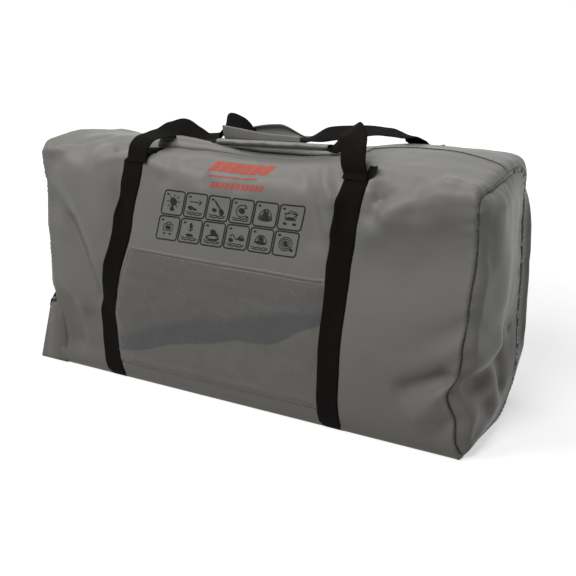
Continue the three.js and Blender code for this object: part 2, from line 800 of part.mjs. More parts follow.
// Cut end of a webbing, turned out sideways from under the lapped handle
function lapTail(place, share) {
  const rows = [
    { x: place + webbingWidth / 2 - 8, spread: 0.05, lift: 0 },
    { x: place + webbingWidth / 2, spread: 0.045, lift: 0 },
    { x: place + webbingWidth / 2 + tailReach, spread: 0.01, lift: tailLift },
  ];
  return sweep(rows.map(({ x, spread, lift }) => {
    const high = webbingProud + lift;
    const low = high - webbingThickness * 0.6;
    return [
      skin(x, share - spread, low),
      skin(x, share + spread, low),
      skin(x, share + spread, high),
      skin(x, share - spread, high),
    ];
  }));
}

// Slit between the closure's lip and flap
function mouthSlit() {
  const front = (x) => closureY + lipWidth + mouthGap + mouthOpening * hill(x - mouthPlace, mouthSpan);
  const edge = clearance + 0.1;
  return laidSheet(
    (s) => mouthPlace + mouthSpan * (2 * s - 1),
    (x, t) => topShare(x, mix(closureY + lipWidth + edge, front(x) - edge, t)),
    -mouthDepth,
    cutHeight,
    0,
    8,
    1,
  );
}

// Assembly of the solids: what lies on the shell is let into it with the clearance
const film = windowPocket();
const hem = pocketHem();
const lip = closureLip();
const flap = closureFlap();

let valise = shell();
const lets = [
  girthWebbing(leftGirth, clearance),
  girthWebbing(rightGirth, clearance),
  windowPocket(clearance),
  pocketHem(clearance),
  closureLip(clearance),
  closureFlap(clearance),
  mouthSlit(),
];
for (const cut of lets) valise = valise.subtract(cut);
valise = mainPiece(valise);

const grownShell = shell(clearance);

function clearOf(solid, ...others) {
  return mainPiece(others.reduce((rest, other) => rest.subtract(other), solid));
}

const grownGirths = [leftGirth, rightGirth].map((girth) => girthWebbing(girth, clearance, clearance));
const frontHandle = clearOf(freeWebbing(frontHandleStations()), grownShell, ...grownGirths);
const rearHandle = clearOf(freeWebbing(rearHandleStations()), grownShell, ...grownGirths);
const grownFrontHandle = freeWebbing(frontHandleStations(), clearance);
const grownRearHandle = freeWebbing(rearHandleStations(), clearance);
const leftWebbing = girthWebbing(leftGirth);
const frontTail = lapTail(routeAt(rightRoute, bagHeight), 2.08);
const rearTail = lapTail(rightRearPlace, 3 - rearStrapReach + 0.5 * lapShares);
const rightWebbing = girthWebbing(rightGirth)
  .add(clearOf(frontTail, grownFrontHandle, grownShell))
  .add(clearOf(rearTail, grownRearHandle, grownShell));
const gripFront = clearOf(frontGrip(), grownFrontHandle);
const gripRear = clearOf(rearGrip(), grownRearHandle);
const endPocket = clearOf(endPocketBlock(), grownShell);
const mouthWebbing = clearOf(pocketMouthWebbing(), grownShell);

const satinGrey = () => new THREE.MeshStandardMaterial({ color: 0x7f7f7b, roughness: 0.5, metalness: 0 });
const blackWebbing = () => new THREE.MeshStandardMaterial({ color: 0x17161a, roughness: 0.85, metalness: 0 });
const clearFilm = () => new THREE.MeshStandardMaterial({ color: 0x8a8a86, roughness: 0.15, metalness: 0 });

const liferaftValise = new THREE.Group();

function addPart(name, solid, material) {
  const mesh = new THREE.Mesh(toGeometry(solid), material);
  mesh.name = name;
  liferaftValise.add(mesh);
}

addPart('valise_body', valise, satinGrey());
addPart('girth_webbing_left', leftWebbing, blackWebbing());
addPart('girth_webbing_right', rightWebbing, blackWebbing());
addPart('front_handle_webbing', frontHandle, blackWebbing());
addPart('rear_handle_webbing', rearHandle, blackWebbing());
addPart('front_grip_wrap', gripFront, satinGrey());
addPart('rear_grip_wrap', gripRear, satinGrey());
addPart('window_pocket_film', film, clearFilm());
addPart('window_pocket_hem', hem, satinGrey());
addPart('closure_lip', lip, satinGrey());
addPart('closure_flap', flap, satinGrey());
addPart('end_pocket', endPocket, satinGrey());
addPart('end_pocket_webbing', mouthWebbing, blackWebbing());

export default liferaftValise;
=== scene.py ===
import math

import bpy
import numpy as np
from mathutils import Matrix, Vector


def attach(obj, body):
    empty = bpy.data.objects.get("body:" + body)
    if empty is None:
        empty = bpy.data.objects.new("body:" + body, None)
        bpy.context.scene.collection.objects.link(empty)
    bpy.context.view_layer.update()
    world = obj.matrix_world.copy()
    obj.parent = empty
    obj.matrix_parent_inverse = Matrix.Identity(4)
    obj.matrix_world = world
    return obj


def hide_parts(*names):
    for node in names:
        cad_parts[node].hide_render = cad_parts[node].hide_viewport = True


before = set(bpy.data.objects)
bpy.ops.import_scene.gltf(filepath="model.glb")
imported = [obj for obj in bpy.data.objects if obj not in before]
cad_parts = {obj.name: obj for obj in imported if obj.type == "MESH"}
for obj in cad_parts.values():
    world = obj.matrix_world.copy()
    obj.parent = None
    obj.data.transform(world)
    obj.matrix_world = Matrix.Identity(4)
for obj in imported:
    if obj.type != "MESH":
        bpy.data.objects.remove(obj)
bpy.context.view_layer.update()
print("frame loaded with", len(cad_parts), "nodes")

mm = 0.001  # lengths below are millimetres, and a mesh turns them into metres when it is made

# The sewn form: a rounded rectangle that runs along X and changes towards the ends
bag = {
    "length": 760, "depth": 250, "height": 398,
    "frontBelly": 3, "backBelly": 9, "endBelly": 16,
    "crowns": ((25, 235, 108), (3, -190, 110), (8, 350, 56)),  # rise, place along X, span
    "crownFall": 0.6,  # share of a crown's rise that is lost at the front and back
    "endSeam": 5, "backCorner": 42,  # radii in plan
    "baseFront": 9, "baseBack": 34, "baseBackEnd": 70,
    "shoulderFront": 46, "shoulderBack": 105, "shoulderEnd": 14, "shoulderBackEnd": 44,
    "shoulderBlend": 150, "shoulderTightLeft": 180,
    "shoulderRound": (34, -292, 42),  # extra radius, place along X, span
    "arcShare": 0.2,  # share of a side that each of its corner arcs takes up in u
    "frontPart": (60, 160),  # from this place back to that far, the right end's lean fades out
    "lean": 18, "leanRise": (60, 300, 0.75),  # size; start, span and share that lies inwards
    "frontSwells": ((-15, 98, 24), (10, 0, 20), (3, 392, 34)),  # size, height, span
    "rearSwells": ((10, 230, 130), (8, 95, 60)),
    "rearTucks": ((12, 0, 9), (-14, 15, 15)),  # size, distance from the end, span
    "tuckFrom": (40, 40), "tuckFoot": 130, "tuckHead": (400, 110),  # where the tucks fade out
    "footTuck": (5, 16), "foldFoot": 40,  # the front's foot is drawn in, and the folds fade out above it
    "ripples": ((0.9, 96, 11), (0.35, 31, 12)),  # size, wavelength, seed
    "endRipples": ((0.6, 90, 21), (0.12, 28, 22)),
    "seamDip": 0.8, "seamDipSpan": 1.6, "seamRidge": 0.6, "seamRidgePlace": 5, "seamRidgeSpan": 3.5,
    "pucker": 1.1, "puckerLeft": 0.3, "puckerLength": 15, "puckerReach": 15,
    "rearFlat": 0.8,  # share of the right end's swell that its rear half lacks
    "columns": 176, "acrossSteps": 56, "upSteps": 90, "crowding": 1.25,
}
halfLength = bag["length"] / 2
halfDepth = bag["depth"] / 2

webbing = {
    "width": 38, "thickness": 2.2, "proud": 1.7, "pinch": 5, "pinchSpan": 30,
    "leftRoute": ((0, -250), (50, -263), (110, -265), (160, -252), (260, -214), (350, -186), (400, -174)),
    "rightRoute": ((0, 166), (50, 161), (130, 164), (260, 178), (350, 195), (400, 204)),
    "leftRear": -225, "rightRear": 226, "leftReach": 0.32, "rightReach": 0.06, "rearReach": 0.14,
    "lapShares": 0.13, "lapRoom": 0.6, "clearance": 0.3, "girthRise": 1.2,
    "across": 12, "underRise": 0.4,
}

# Broad folds: from, to, rise (a dent when negative), width at both ends, share of the rise left at the end
broadFolds = (
    ((-352, -118, 372), (-292, -60, 404), -9, 16, 16, 1.0),
    ((-234, -90, 404), (-218, -126, 306), -9, 10, 14, 0.5),
    ((-262, -112, 398), (-252, -126, 290), 6, 20, 26, 0.6),
    ((-330, -125, 398), (-226, -125, 398), -5, 46, 46, 1.0),
    ((-300, -50, 404), (-226, -46, 404), 7, 30, 30, 1.0),
    ((-374, -112, 402), (-368, 60, 402), 8, 22, 26, 0.8),
    ((-345, -125, 372), (-268, -125, 215), 6, 26, 30, 1.0),
    ((-350, -125, 292), (-300, -125, 110), -9, 34, 44, 1.0),
    ((-376, -125, 40), (-280, -125, 40), -8, 60, 60, 1.0),
    ((225, -125, 330), (366, -122, 376), 8, 26, 26, 1.0),
    ((228, -125, 262), (376, -125, 306), -8, 44, 44, 1.0),
    ((366, 104, 40), (364, 106, 340), 7, 26, 26, 1.0),
    ((300, -20, 416), (372, 50, 404), 6, 46, 40, 0.2),
    ((-330, -124, 262), (-286, -124, 140), -8, 17, 17, 1.0),
    ((-360, -124, 250), (-318, -124, 120), 6, 20, 20, 1.0),
    ((-346, -122, 120), (-336, -122, 20), -7, 16, 16, 1.0),
    ((150, -118, 392), (170, -124, 320), 8, 17, 17, 1.0),
    ((120, -112, 400), (140, -124, 300), -6, 16, 16, 1.0),
    ((244, -118, 396), (232, -124, 350), -9, 14, 14, 1.0),
    ((258, -122, 352), (330, -118, 384), 7, 18, 18, 1.0),
    ((300, -112, 392), (296, -120, 362), -6, 12, 12, 1.0),
    ((352, -124, 126), (292, -124, 92), -10, 17, 17, 1.0),
    ((360, -122, 92), (316, -122, 60), 6, 17, 17, 1.0),
    ((370, -120, 60), (345, -120, 25), -5, 14, 14, 1.0),
    ((-120, -110, 400), (-128, -122, 360), -5, 13, 13, 1.0),
    ((-60, -110, 400), (-56, -122, 366), -5, 13, 13, 1.0),
    ((20, -110, 400), (12, -122, 368), -4, 13, 13, 1.0),
    ((330, 120, 350), (380, 100, 354), -9, 14, 14, 1.0),
    ((340, 104, 386), (380, 90, 382), 6, 18, 18, 1.0),
    ((300, 128, 300), (200, 130, 120), -6, 26, 26, 1.0),
    ((-300, 128, 320), (-190, 130, 160), -6, 26, 26, 1.0),
    ((60, 130, 350), (40, 130, 60), 5, 34, 34, 1.0),
    ((-80, 130, 340), (-96, 130, 90), -5, 24, 24, 1.0),
    ((-380, 60, 396), (-250, 100, 392), -14, 55, 55, 1.0),
)

# Finer folds, which start at a seam, a webbing or the lip and fade out into the cloth
fineFolds = (
    ((-230, -104, 404), (-216, -126, 290), -9, 6, 12, 0.3),
    ((-340, -122, 393), (-262, -62, 408), 6, 9, 14, 0.8),
    ((-374, -122, 394), (-352, -112, 394), -5, 9, 9, 0.8),
    ((-376, -124, 330), (-296, -125, 170), -4, 10, 20, 0.6),
    ((-376, -124, 214), (-300, -125, 60), 3, 12, 20, 0.3),
    ((-292, -125, 196), (-268, -125, 70), 3, 9, 15, 0.2),
    ((-158, -104, 396), (-150, -124, 350), -3.5, 5, 12, 0.2),
    ((-138, -108, 394), (-134, -124, 346), 2.5, 5, 11, 0.2),
    ((-96, -108, 394), (-106, -124, 344), 3, 6, 12, 0.1),
    ((-74, -106, 396), (-122, -124, 356), -3, 5, 9, 0.2),
    ((-34, -108, 396), (-70, -124, 352), 2.4, 5, 11, 0.2),
    ((4, -108, 396), (-26, -124, 364), -2.6, 5, 10, 0.2),
    ((112, -98, 400), (160, -124, 362), 3.5, 6, 12, 0.6),
    ((136, -92, 406), (174, -128, 364), 6, 6, 9, 0.7),
    ((174, -128, 364), (166, -126, 300), 4, 8, 14, 0.2),
    ((140, -112, 388), (154, -125, 262), -4, 6, 16, 0.2),
    ((228, -112, 398), (240, -118, 372), -5, 6, 8, 0.8),
    ((240, -118, 370), (272, -122, 386), -4, 6, 8, 0.8),
    ((250, -124, 352), (306, -114, 382), 4, 9, 12, 0.6),
    ((328, -114, 402), (318, -128, 378), 4, 7, 9, 0.5),
    ((226, -118, 378), (238, -125, 320), 3.5, 6, 12, 0.1),
    ((318, -106, 396), (312, -124, 356), -4, 6, 9, 0.2),
    ((344, -112, 394), (322, -124, 352), 3, 7, 12, 0.2),
    ((280, -125, 300), (240, -125, 250), 3, 24, 34, 0.5),
    ((378, -124, 210), (280, -125, 150), -4, 12, 24, 0.2),
    ((378, -124, 176), (300, -125, 124), 4, 12, 20, 0.2),
    ((379, -124, 128), (306, -125, 100), -5, 6, 16, 0.2),
    ((379, -124, 112), (320, -125, 70), 4, 8, 16, 0.2),
    ((378, -124, 78), (336, -125, 56), 3, 5, 10, 0.1),
    ((378, -124, 46), (346, -125, 36), 2.5, 5, 9, 0.1),
    ((379, -124, 376), (350, -124, 372), -2.6, 3.5, 6, 0.1),
    ((379, -124, 358), (346, -124, 350), -2.6, 3.5, 7, 0.1),
    ((379, -124, 341), (354, -124, 334), -2.2, 3.5, 6, 0.1),
    ((379, -124, 318), (360, -124, 312), -1.6, 3.5, 6, 0.1),
    ((-379, -124, 352), (-346, -125, 336), -2.4, 4, 8, 0.1),
    ((-379, -124, 300), (-350, -125, 280), -2.2, 4, 8, 0.1),
    ((188, -60, 418), (330, -40, 408), -2.5, 8, 14, 0.4),
    ((260, -90, 410), (350, -70, 396), 2.5, 10, 16, 0.3),
    ((-379, 110, 300), (-300, 130, 250), -5, 9, 20, 0.2),
    ((-379, 110, 90), (-310, 130, 130), -5, 9, 20, 0.2),
    ((379, 110, 240), (300, 132, 200), -5, 9, 20, 0.2),
    ((379, 108, 110), (310, 130, 150), -5, 9, 20, 0.2),
    ((210, 118, 374), (186, 134, 250), -5, 8, 22, 0.2),
    ((246, 118, 372), (276, 134, 262), 4, 9, 22, 0.2),
    ((-208, 120, 366), (-176, 134, 250), -5, 8, 22, 0.2),
    ((-246, 120, 366), (-268, 134, 260), 4, 9, 22, 0.2),
    ((200, 134, 60), (140, 134, 130), -4, 8, 20, 0.2),
    ((-200, 134, 60), (-130, 134, 120), -4, 8, 20, 0.2),
    ((40, 60, 402), (180, 92, 404), -4, 14, 24, 0.5),
    ((-60, 50, 400), (-190, 86, 390), -4, 14, 24, 0.5),
)

# Folds of the end panels, on [distance along Y, height]
endFolds = (
    ((-118, 124), (-40, 60), -10, 20, 20, 1.0),
    ((-118, 134), (-30, 150), 7, 22, 22, 1.0),
    ((6, 150), (24, 70), -8, 16, 16, 1.0),
    ((-60, 372), (-30, 230), 5, 34, 34, 1.0),
    ((-108, 352), (-92, 300), -5, 14, 14, 0.6),
    ((30, 330), (44, 200), 4, 28, 28, 0.6),
    ((-120, 352), (-78, 330), -3.5, 5, 10, 0.2),
    ((-120, 318), (-84, 296), -3, 5, 10, 0.2),
    ((-52, 392), (-40, 300), -2, 10, 20, 0.2),
    ((-120, 216), (-66, 176), -5, 8, 18, 0.2),
    ((-120, 128), (-60, 108), -5, 6, 14, 0.3),
    ((-64, 104), (-14, 128), -5, 12, 16, 0.8),
    ((-14, 128), (20, 60), -5, 14, 14, 0.6),
    ((-110, 44), (-70, 84), 4, 10, 16, 0.4),
    ((52, 250), (20, 190), 2.5, 12, 20, 0.3),
    ((50, 150), (14, 170), -4, 8, 16, 0.2),
    ((76, 230), (44, 236), -3, 6, 10, 0.2),
)


def smooth(value):
    t = np.clip(value, 0, 1)
    return t * t * (3 - 2 * t)


def hill(distance, span):
    return np.exp(-((distance / span) ** 2))


def mix(first, second, share):
    return first + (second - first) * share


def routeAt(route, height):
    # place along X of a webbing's route at a height
    heights, places = (np.array(part, float) for part in zip(*route))
    level = np.clip(height, heights[0], heights[-1])
    i = np.clip(np.searchsorted(heights, level) - 1, 0, len(route) - 2)
    t = (level - heights[i]) / (heights[i + 1] - heights[i])
    return mix(places[i], places[i + 1], 0.5 * smooth(t) + 0.5 * t)


def ripple(points, wavelength, seed):
    # an even, seeded unevenness between about -1 and 1
    pick = np.random.default_rng(seed)
    waves = 9
    total = np.zeros(len(points))
    for _ in range(waves):
        direction = pick.normal(size=points.shape[1])
        direction *= 2 * math.pi / (np.linalg.norm(direction) * wavelength * pick.uniform(0.7, 1.5))
        total += np.sin(points @ direction + pick.uniform(0, 2 * math.pi))
    return total / math.sqrt(2 * waves)


def ripples(points, parts):
    return sum(size * ripple(points, wavelength, seed) for size, wavelength, seed in parts)


def swells(distance, parts):
    return sum(size * hill(distance - place, span) for size, place, span in parts)


def foldRise(points, folds):
    total = np.zeros(len(points))
    for start, end, rise, startSpan, endSpan, endShare in folds:
        start, end = np.array(start, float), np.array(end, float)
        run = end - start
        t = np.clip((points - start) @ run / (run @ run), 0, 1)
        distance = np.linalg.norm(points - start - t[:, None] * run, axis=1)
        total += rise * mix(1, endShare, t) * hill(distance, mix(startSpan, endSpan, t))
    return total


def inset(x, radius):
    past = np.maximum(0, np.abs(x) - (halfLength - radius))
    return np.where(past > 0, radius - np.sqrt(np.maximum(0, radius ** 2 - past ** 2)), 0)


def sectionSides(x):
    # start, length and corner radii of the section's sides: base, front, top and back
    inner = smooth((halfLength - np.abs(x)) / bag["shoulderBlend"])
    front = -halfDepth + inset(x, bag["endSeam"])
    back = halfDepth - inset(x, bag["backCorner"])
    low = inset(x, bag["endSeam"])
    high = bag["height"] - inset(x, bag["shoulderEnd"])
    baseBack = mix(bag["baseBackEnd"], bag["baseBack"], inner)
    baseFront = np.full_like(x, bag["baseFront"])
    tight = np.where(x < 0, bag["shoulderTightLeft"], 0)
    frontInner = smooth((halfLength - np.abs(x) - tight) / bag["shoulderBlend"])
    shoulderFront = mix(bag["shoulderEnd"], bag["shoulderFront"], frontInner)
    wider, place, span = bag["shoulderRound"]
    shoulderFront += wider * hill(x - place, span)
    shoulderBack = mix(bag["shoulderBackEnd"], bag["shoulderBack"], inner)
    return (
        (back, low, back - front, baseBack, baseFront),
        (front, low, high - low, baseFront, shoulderFront),
        (front, high, back - front, shoulderFront, shoulderBack),
        (back, high, high - low, shoulderBack, baseBack),
    )


def evenSection(x, u):
    # point and outward normal; u runs from the base's rear: 0-1 base, 1-2 front, 2-3 top, 3-4 back
    turn = np.mod(u, 4)
    side = np.floor(turn).astype(int)
    t = turn - side
    startY, startZ, length, first, second = (np.choose(side, parts) for parts in zip(*sectionSides(x)))
    alongY, alongZ = np.choose(side, (-1, 0, 1, 0)), np.choose(side, (0, 1, 0, -1))
    inwardY, inwardZ = np.choose(side, (0, 1, 0, -1)), np.choose(side, (1, 0, -1, 0))
    share = bag["arcShare"]
    before = np.clip(1 - t / share, 0, 1) * math.pi / 4
    after = np.clip(1 - (1 - t) / share, 0, 1) * math.pi / 4
    along = mix(first, length - second, np.clip((t - share) / (1 - 2 * share), 0, 1))
    along = along - first * np.sin(before) + second * np.sin(after)
    inward = first * (1 - np.cos(before)) + second * (1 - np.cos(after))
    lean = after - before
    return (
        startY + alongY * along + inwardY * inward,
        startZ + alongZ * along + inwardZ * inward,
        alongY * np.sin(lean) - inwardY * np.cos(lean),
        alongZ * np.sin(lean) - inwardZ * np.cos(lean),
    )


def clothRise(x, y, z, normalY, normalZ):
    # how far the cloth stands out from the even section
    lengthwise = 1 - (x / halfLength) ** 4
    upright = 1 - (2 * z / bag["height"] - 1) ** 2
    rise = bag["frontBelly"] * np.clip(-normalY, 0, 1) * upright * lengthwise
    rise += bag["backBelly"] * np.clip(normalY, 0, 1) * upright * lengthwise
    crown = swells(x, bag["crowns"]) * (1 - bag["crownFall"] * (y / halfDepth) ** 2)
    rise += crown * np.clip(normalZ, 0, 1)
    onFront = normalY < 0
    leftPlace = np.where(onFront, routeAt(webbing["leftRoute"], z), webbing["leftRear"])
    rightPlace = np.where(onFront, routeAt(webbing["rightRoute"], z), webbing["rightRear"])
    pinch = hill(x - leftPlace, webbing["pinchSpan"]) + hill(x - rightPlace, webbing["pinchSpan"])
    rise -= webbing["pinch"] * np.abs(normalY) * pinch * upright
    points = np.stack((x, y, z), axis=1)
    rise += foldRise(points, broadFolds) + foldRise(points, fineFolds)
    rise += ripples(points, bag["ripples"])
    toSeam = halfLength - np.abs(x)
    pucker = np.where(x < 0, bag["puckerLeft"], bag["pucker"])
    across = points * (0.25, 1, 1)
    rise -= pucker * hill(toSeam, bag["puckerReach"]) * ripple(across, bag["puckerLength"], 13)
    rise *= smooth((z - bag["baseFront"]) / bag["foldFoot"])
    depth, span = bag["footTuck"]
    rise -= depth * hill(z, span) * np.clip(-normalY, 0, 1)
    rise += bag["seamRidge"] * hill(toSeam - bag["seamRidgePlace"], bag["seamRidgeSpan"])
    return rise - bag["seamDip"] * hill(toSeam, bag["seamDipSpan"])


def endShift(y, z):
    # the right end leans in towards its base, with a notch above its foot
    start, span = bag["frontPart"]
    nearFront = smooth((start - y) / span)
    start, span, inwards = bag["leanRise"]
    lean = bag["lean"] * (smooth((z - start) / span) - inwards)
    front = lean + swells(z, bag["frontSwells"])
    return nearFront * front + (1 - nearFront) * swells(z, bag["rearSwells"])


def rearTuck(x, y, z):
    # the cloth is drawn in at the right end's rear seam and stands out beside it
    start, span = bag["tuckFrom"]
    head, headSpan = bag["tuckHead"]
    tuck = swells(halfLength - x, bag["rearTucks"]) * smooth((y - start) / span)
    return tuck * smooth(z / bag["tuckFoot"]) * smooth((head - z) / headSpan)


def skin(x, u, offset=0.0):
    # points of the cloth in millimetres, raised by an offset along the section's normal
    x, u, offset = (np.ravel(part).astype(float) for part in np.broadcast_arrays(x, u, offset))
    y, z, normalY, normalZ = evenSection(x, u)
    out = clothRise(x, y, z, normalY, normalZ) + offset
    shift = np.where(x > 0, endShift(y, z) * (np.abs(x) / halfLength) ** 6, 0) - rearTuck(x, y, z)
    return np.stack((x + shift, y + normalY * out, np.maximum(z + normalZ * out, 0.0)), axis=1)


def skinNormal(x, u):
    _, _, normalY, normalZ = evenSection(np.ravel(x).astype(float), np.ravel(u).astype(float))
    return np.stack((np.zeros_like(normalY), normalY, normalZ), axis=1)


def frontShare(x, height):
    # u of a height on the front; past the straight part it follows the shoulder's arc
    _, _, length, first, second = sectionSides(np.atleast_1d(x).astype(float))[1]
    share = bag["arcShare"]
    straight = length - first - second
    t = (height - first) / straight
    over = np.maximum(0, height - first - straight) / (second * math.pi / 4)
    return 1 + share + (1 - 2 * share) * np.clip(t, 0, 1) + share * over


def topShare(x, y):
    startY, _, length, first, second = sectionSides(np.atleast_1d(x).astype(float))[2]
    t = (y - startY - first) / (length - first - second)
    return 2 + bag["arcShare"] + (1 - 2 * bag["arcShare"]) * t


def makeMesh(name, points, faces, material, uvs=None, flat=False):
    mesh = bpy.data.meshes.new(name)
    mesh.from_pydata((np.asarray(points) * mm).tolist(), [], faces)
    mesh.validate()
    if uvs is not None:
        layer = mesh.uv_layers.new(name="cloth")
        corners = np.zeros(len(mesh.loops), np.int32)
        mesh.loops.foreach_get("vertex_index", corners)
        layer.data.foreach_set("uv", (np.asarray(uvs)[corners] * mm).astype(np.float32).ravel())
    piece = bpy.data.objects.new(name, mesh)
    bpy.context.scene.collection.objects.link(piece)
    mesh.materials.append(material)
    if flat:
        mesh.shade_flat()
    else:
        mesh.shade_smooth()
    return piece


def placePiece(piece, slot, *nodes):
    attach(piece, "root")
    if nodes:
        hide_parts(*nodes)
    return piece


def gridFaces(rows, columns, first=0, wrap=False, turn=False):
    faces = []
    for i in range(rows - 1):
        for j in range(columns if wrap else columns - 1):
            a, b = first + i * columns + j, first + i * columns + (j + 1) % columns
            face = (a, b, b + columns, a + columns)
            faces.append(face[::-1] if turn else face)
    return faces


def sheetMesh(name, outer, inner, material, uvs):
    # a thin closed sheet from two grids of points, rows by columns
    rows, columns, _ = outer.shape
    count = rows * columns
    faces = gridFaces(rows, columns) + gridFaces(rows, columns, count, turn=True)
    border = list(range(columns)) + [i * columns + columns - 1 for i in range(1, rows)]
    border += [(rows - 1) * columns + j for j in range(columns - 2, -1, -1)]
    border += [i * columns for i in range(rows - 2, 0, -1)]
    for a, b in zip(border, border[1:] + border[:1]):
        faces.append((b, a, a + count, b + count))
    points = np.concatenate((outer.reshape(-1, 3), inner.reshape(-1, 3)))
    return makeMesh(name, points, faces, material, np.concatenate((uvs, uvs)))


class Flow:
    # an output socket of a shader tree; arithmetic on it adds Math nodes
    def __init__(self, shading, socket):
        self.shading = shading
        self.socket = socket

    def maths(self, operation, *others):
        return self.shading.add("ShaderNodeMath", {"operation": operation}, dict(enumerate((self, *others))))

    def __add__(self, other):
        return self.maths("ADD", other)

    def __sub__(self, other):
        return self.maths("SUBTRACT", other)

    def __rsub__(self, other):
        return self.shading.add("ShaderNodeMath", {"operation": "SUBTRACT"}, {0: other, 1: self})

    def __mul__(self, other):
        return self.maths("MULTIPLY", other)

    __radd__ = __add__
    __rmul__ = __mul__


class Shading:
    # a material or world tree, built from one method that adds any node
    def __init__(self, owner):
        owner.use_nodes = True
        self.owner = owner
        self.tree = owner.node_tree
        self.tree.nodes.clear()

    def add(self, kind, settings=None, sockets=None, output=0):
        node = self.tree.nodes.new(kind)
        for key, value in (settings or {}).items():
            if key == "stops":
                elements = node.color_ramp.elements
                for place, tone in value[1:-1]:
                    elements.new(place).color = tone
                for stop, (place, tone) in ((elements[0], value[0]), (elements[-1], value[-1])):
                    stop.position, stop.color = place, tone
            else:
                setattr(node, key, value)
        for key, value in (sockets or {}).items():
            if isinstance(value, Flow):
                self.tree.links.new(value.socket, node.inputs[key])
            else:
                node.inputs[key].default_value = value
        return Flow(self, node.outputs[output]) if node.outputs else node

    def place(self, kind="Object"):
        return self.add("ShaderNodeTexCoord", output=kind)

    def axis(self, vector, name):
        return self.add("ShaderNodeSeparateXYZ", None, {0: vector}, name)

    def waves(self, axis, pitch):
        # a sine along one direction of the cloth, with its pitch in millimetres
        return (self.axis(self.place("UV"), axis) * (2 * math.pi / (pitch * mm))).maths("SINE")

    def noise(self, vector, scale, detail=2.0, roughness=0.5):
        sockets = {"Vector": vector, "Scale": scale, "Detail": detail, "Roughness": roughness}
        return self.add("ShaderNodeTexNoise", None, sockets)

    def stretched(self, vector, scale):
        return self.add("ShaderNodeVectorMath", {"operation": "MULTIPLY"}, {0: vector, 1: scale})

    def ramp(self, value, low, high):
        sockets = {"Value": value, "From Min": low, "From Max": high}
        return self.add("ShaderNodeMapRange", {"interpolation_type": "SMOOTHSTEP"}, sockets)

    def tint(self, share, first, second):
        return self.add("ShaderNodeMix", {"data_type": "RGBA"}, {0: share, 6: first, 7: second}, 2)

    def bump(self, height, strength, distance):
        sockets = {"Height": height, "Strength": strength, "Distance": distance}
        return self.add("ShaderNodeBump", None, sockets)

    def principled(self, sockets):
        return self.finish(self.add("ShaderNodeBsdfPrincipled", None, sockets))

    def finish(self, shader):
        self.add("ShaderNodeOutputMaterial", None, {"Surface": shader})
        return self.owner


def newMaterial(name):
    return Shading(bpy.data.materials.new(name))


def colour(tone, level=1.0):
    # a tone, made lighter or darker, as the four numbers of a colour socket
    return (*(min(1.0, part * level) for part in tone), 1.0)


fabric = {
    "tone": (0.216, 0.212, 0.198), "pale": 1.05, "deep": 0.93,
    # the base tone and its share, height and unevenness are painted shade: a darker, warmer cloth towards the
    # base
    "baseShadeTone": (0.172, 0.161, 0.143), "baseShadeShare": 0.75, "baseShadeHeight": 0.24, "baseShadeUneven": 0.12,
    "roughness": 0.4, "cloudRoughness": 0.14, "grainRoughness": 0.06, "specular": 0.26,
    "cloud": 7.0, "streak": 9.0, "streakStretch": (3.0, 3.0, 26.0), "grain": 620.0,  # noise scales
    "threadPitch": 1.3, "weaveStrength": 0.22, "weaveDepth": 0.00025,
    "gripLightness": 1.12,
}


def satinFabric(name, lightness=1.0):
    # PVC-coated cloth: fine weave under a satin coat, cloudy tone, and painted shade that makes it duller and
    # warmer towards the base
    shade = newMaterial(name)
    where = shade.place()
    weave = shade.waves("X", fabric["threadPitch"]) * shade.waves("Y", fabric["threadPitch"])
    cloud = shade.noise(where, fabric["cloud"], 3.0, 0.55)
    streak = shade.noise(shade.stretched(where, fabric["streakStretch"]), fabric["streak"], 3.0, 0.6)
    grain = shade.noise(where, fabric["grain"], 2.0, 0.6)
    deep = colour(fabric["tone"], lightness * fabric["deep"])
    pale = colour(fabric["tone"], lightness * fabric["pale"])
    tone = shade.tint(cloud * 0.7 + streak * 0.3, deep, pale)
    # painted shade: the cloth is darkened and warmed towards the base, where the light falls off
    level = shade.axis(where, "Z") + (cloud - 0.5) * fabric["baseShadeUneven"]
    lowness = 1 - shade.ramp(level, 0.0, fabric["baseShadeHeight"])
    tone = shade.tint(lowness * fabric["baseShadeShare"], tone, colour(fabric["baseShadeTone"], lightness))
    rough = fabric["roughness"] + (cloud - 0.5) * fabric["cloudRoughness"]
    return shade.principled({
        "Base Color": tone, "Roughness": rough + (grain - 0.5) * fabric["grainRoughness"],
        "Specular IOR Level": fabric["specular"],
        "Normal": shade.bump(weave * 0.6 + grain * 0.5, fabric["weaveStrength"], fabric["weaveDepth"]),
    })


polyester = {
    "cordPitch": 2.1, "pickPitch": 1.7, "ribPitch": 5.1, "fuzz": 900.0, "wear": 22.0,
    "tone": (0.0045, 0.0040, 0.0036), "wornTone": (0.0095, 0.0085, 0.0078),
    "cordTone": (0.018, 0.0165, 0.0155), "cordShare": 0.35,
    "roughness": 0.74, "wearRoughness": 0.16, "specular": 0.06, "weaveStrength": 0.55, "weaveDepth": 0.0005,
}


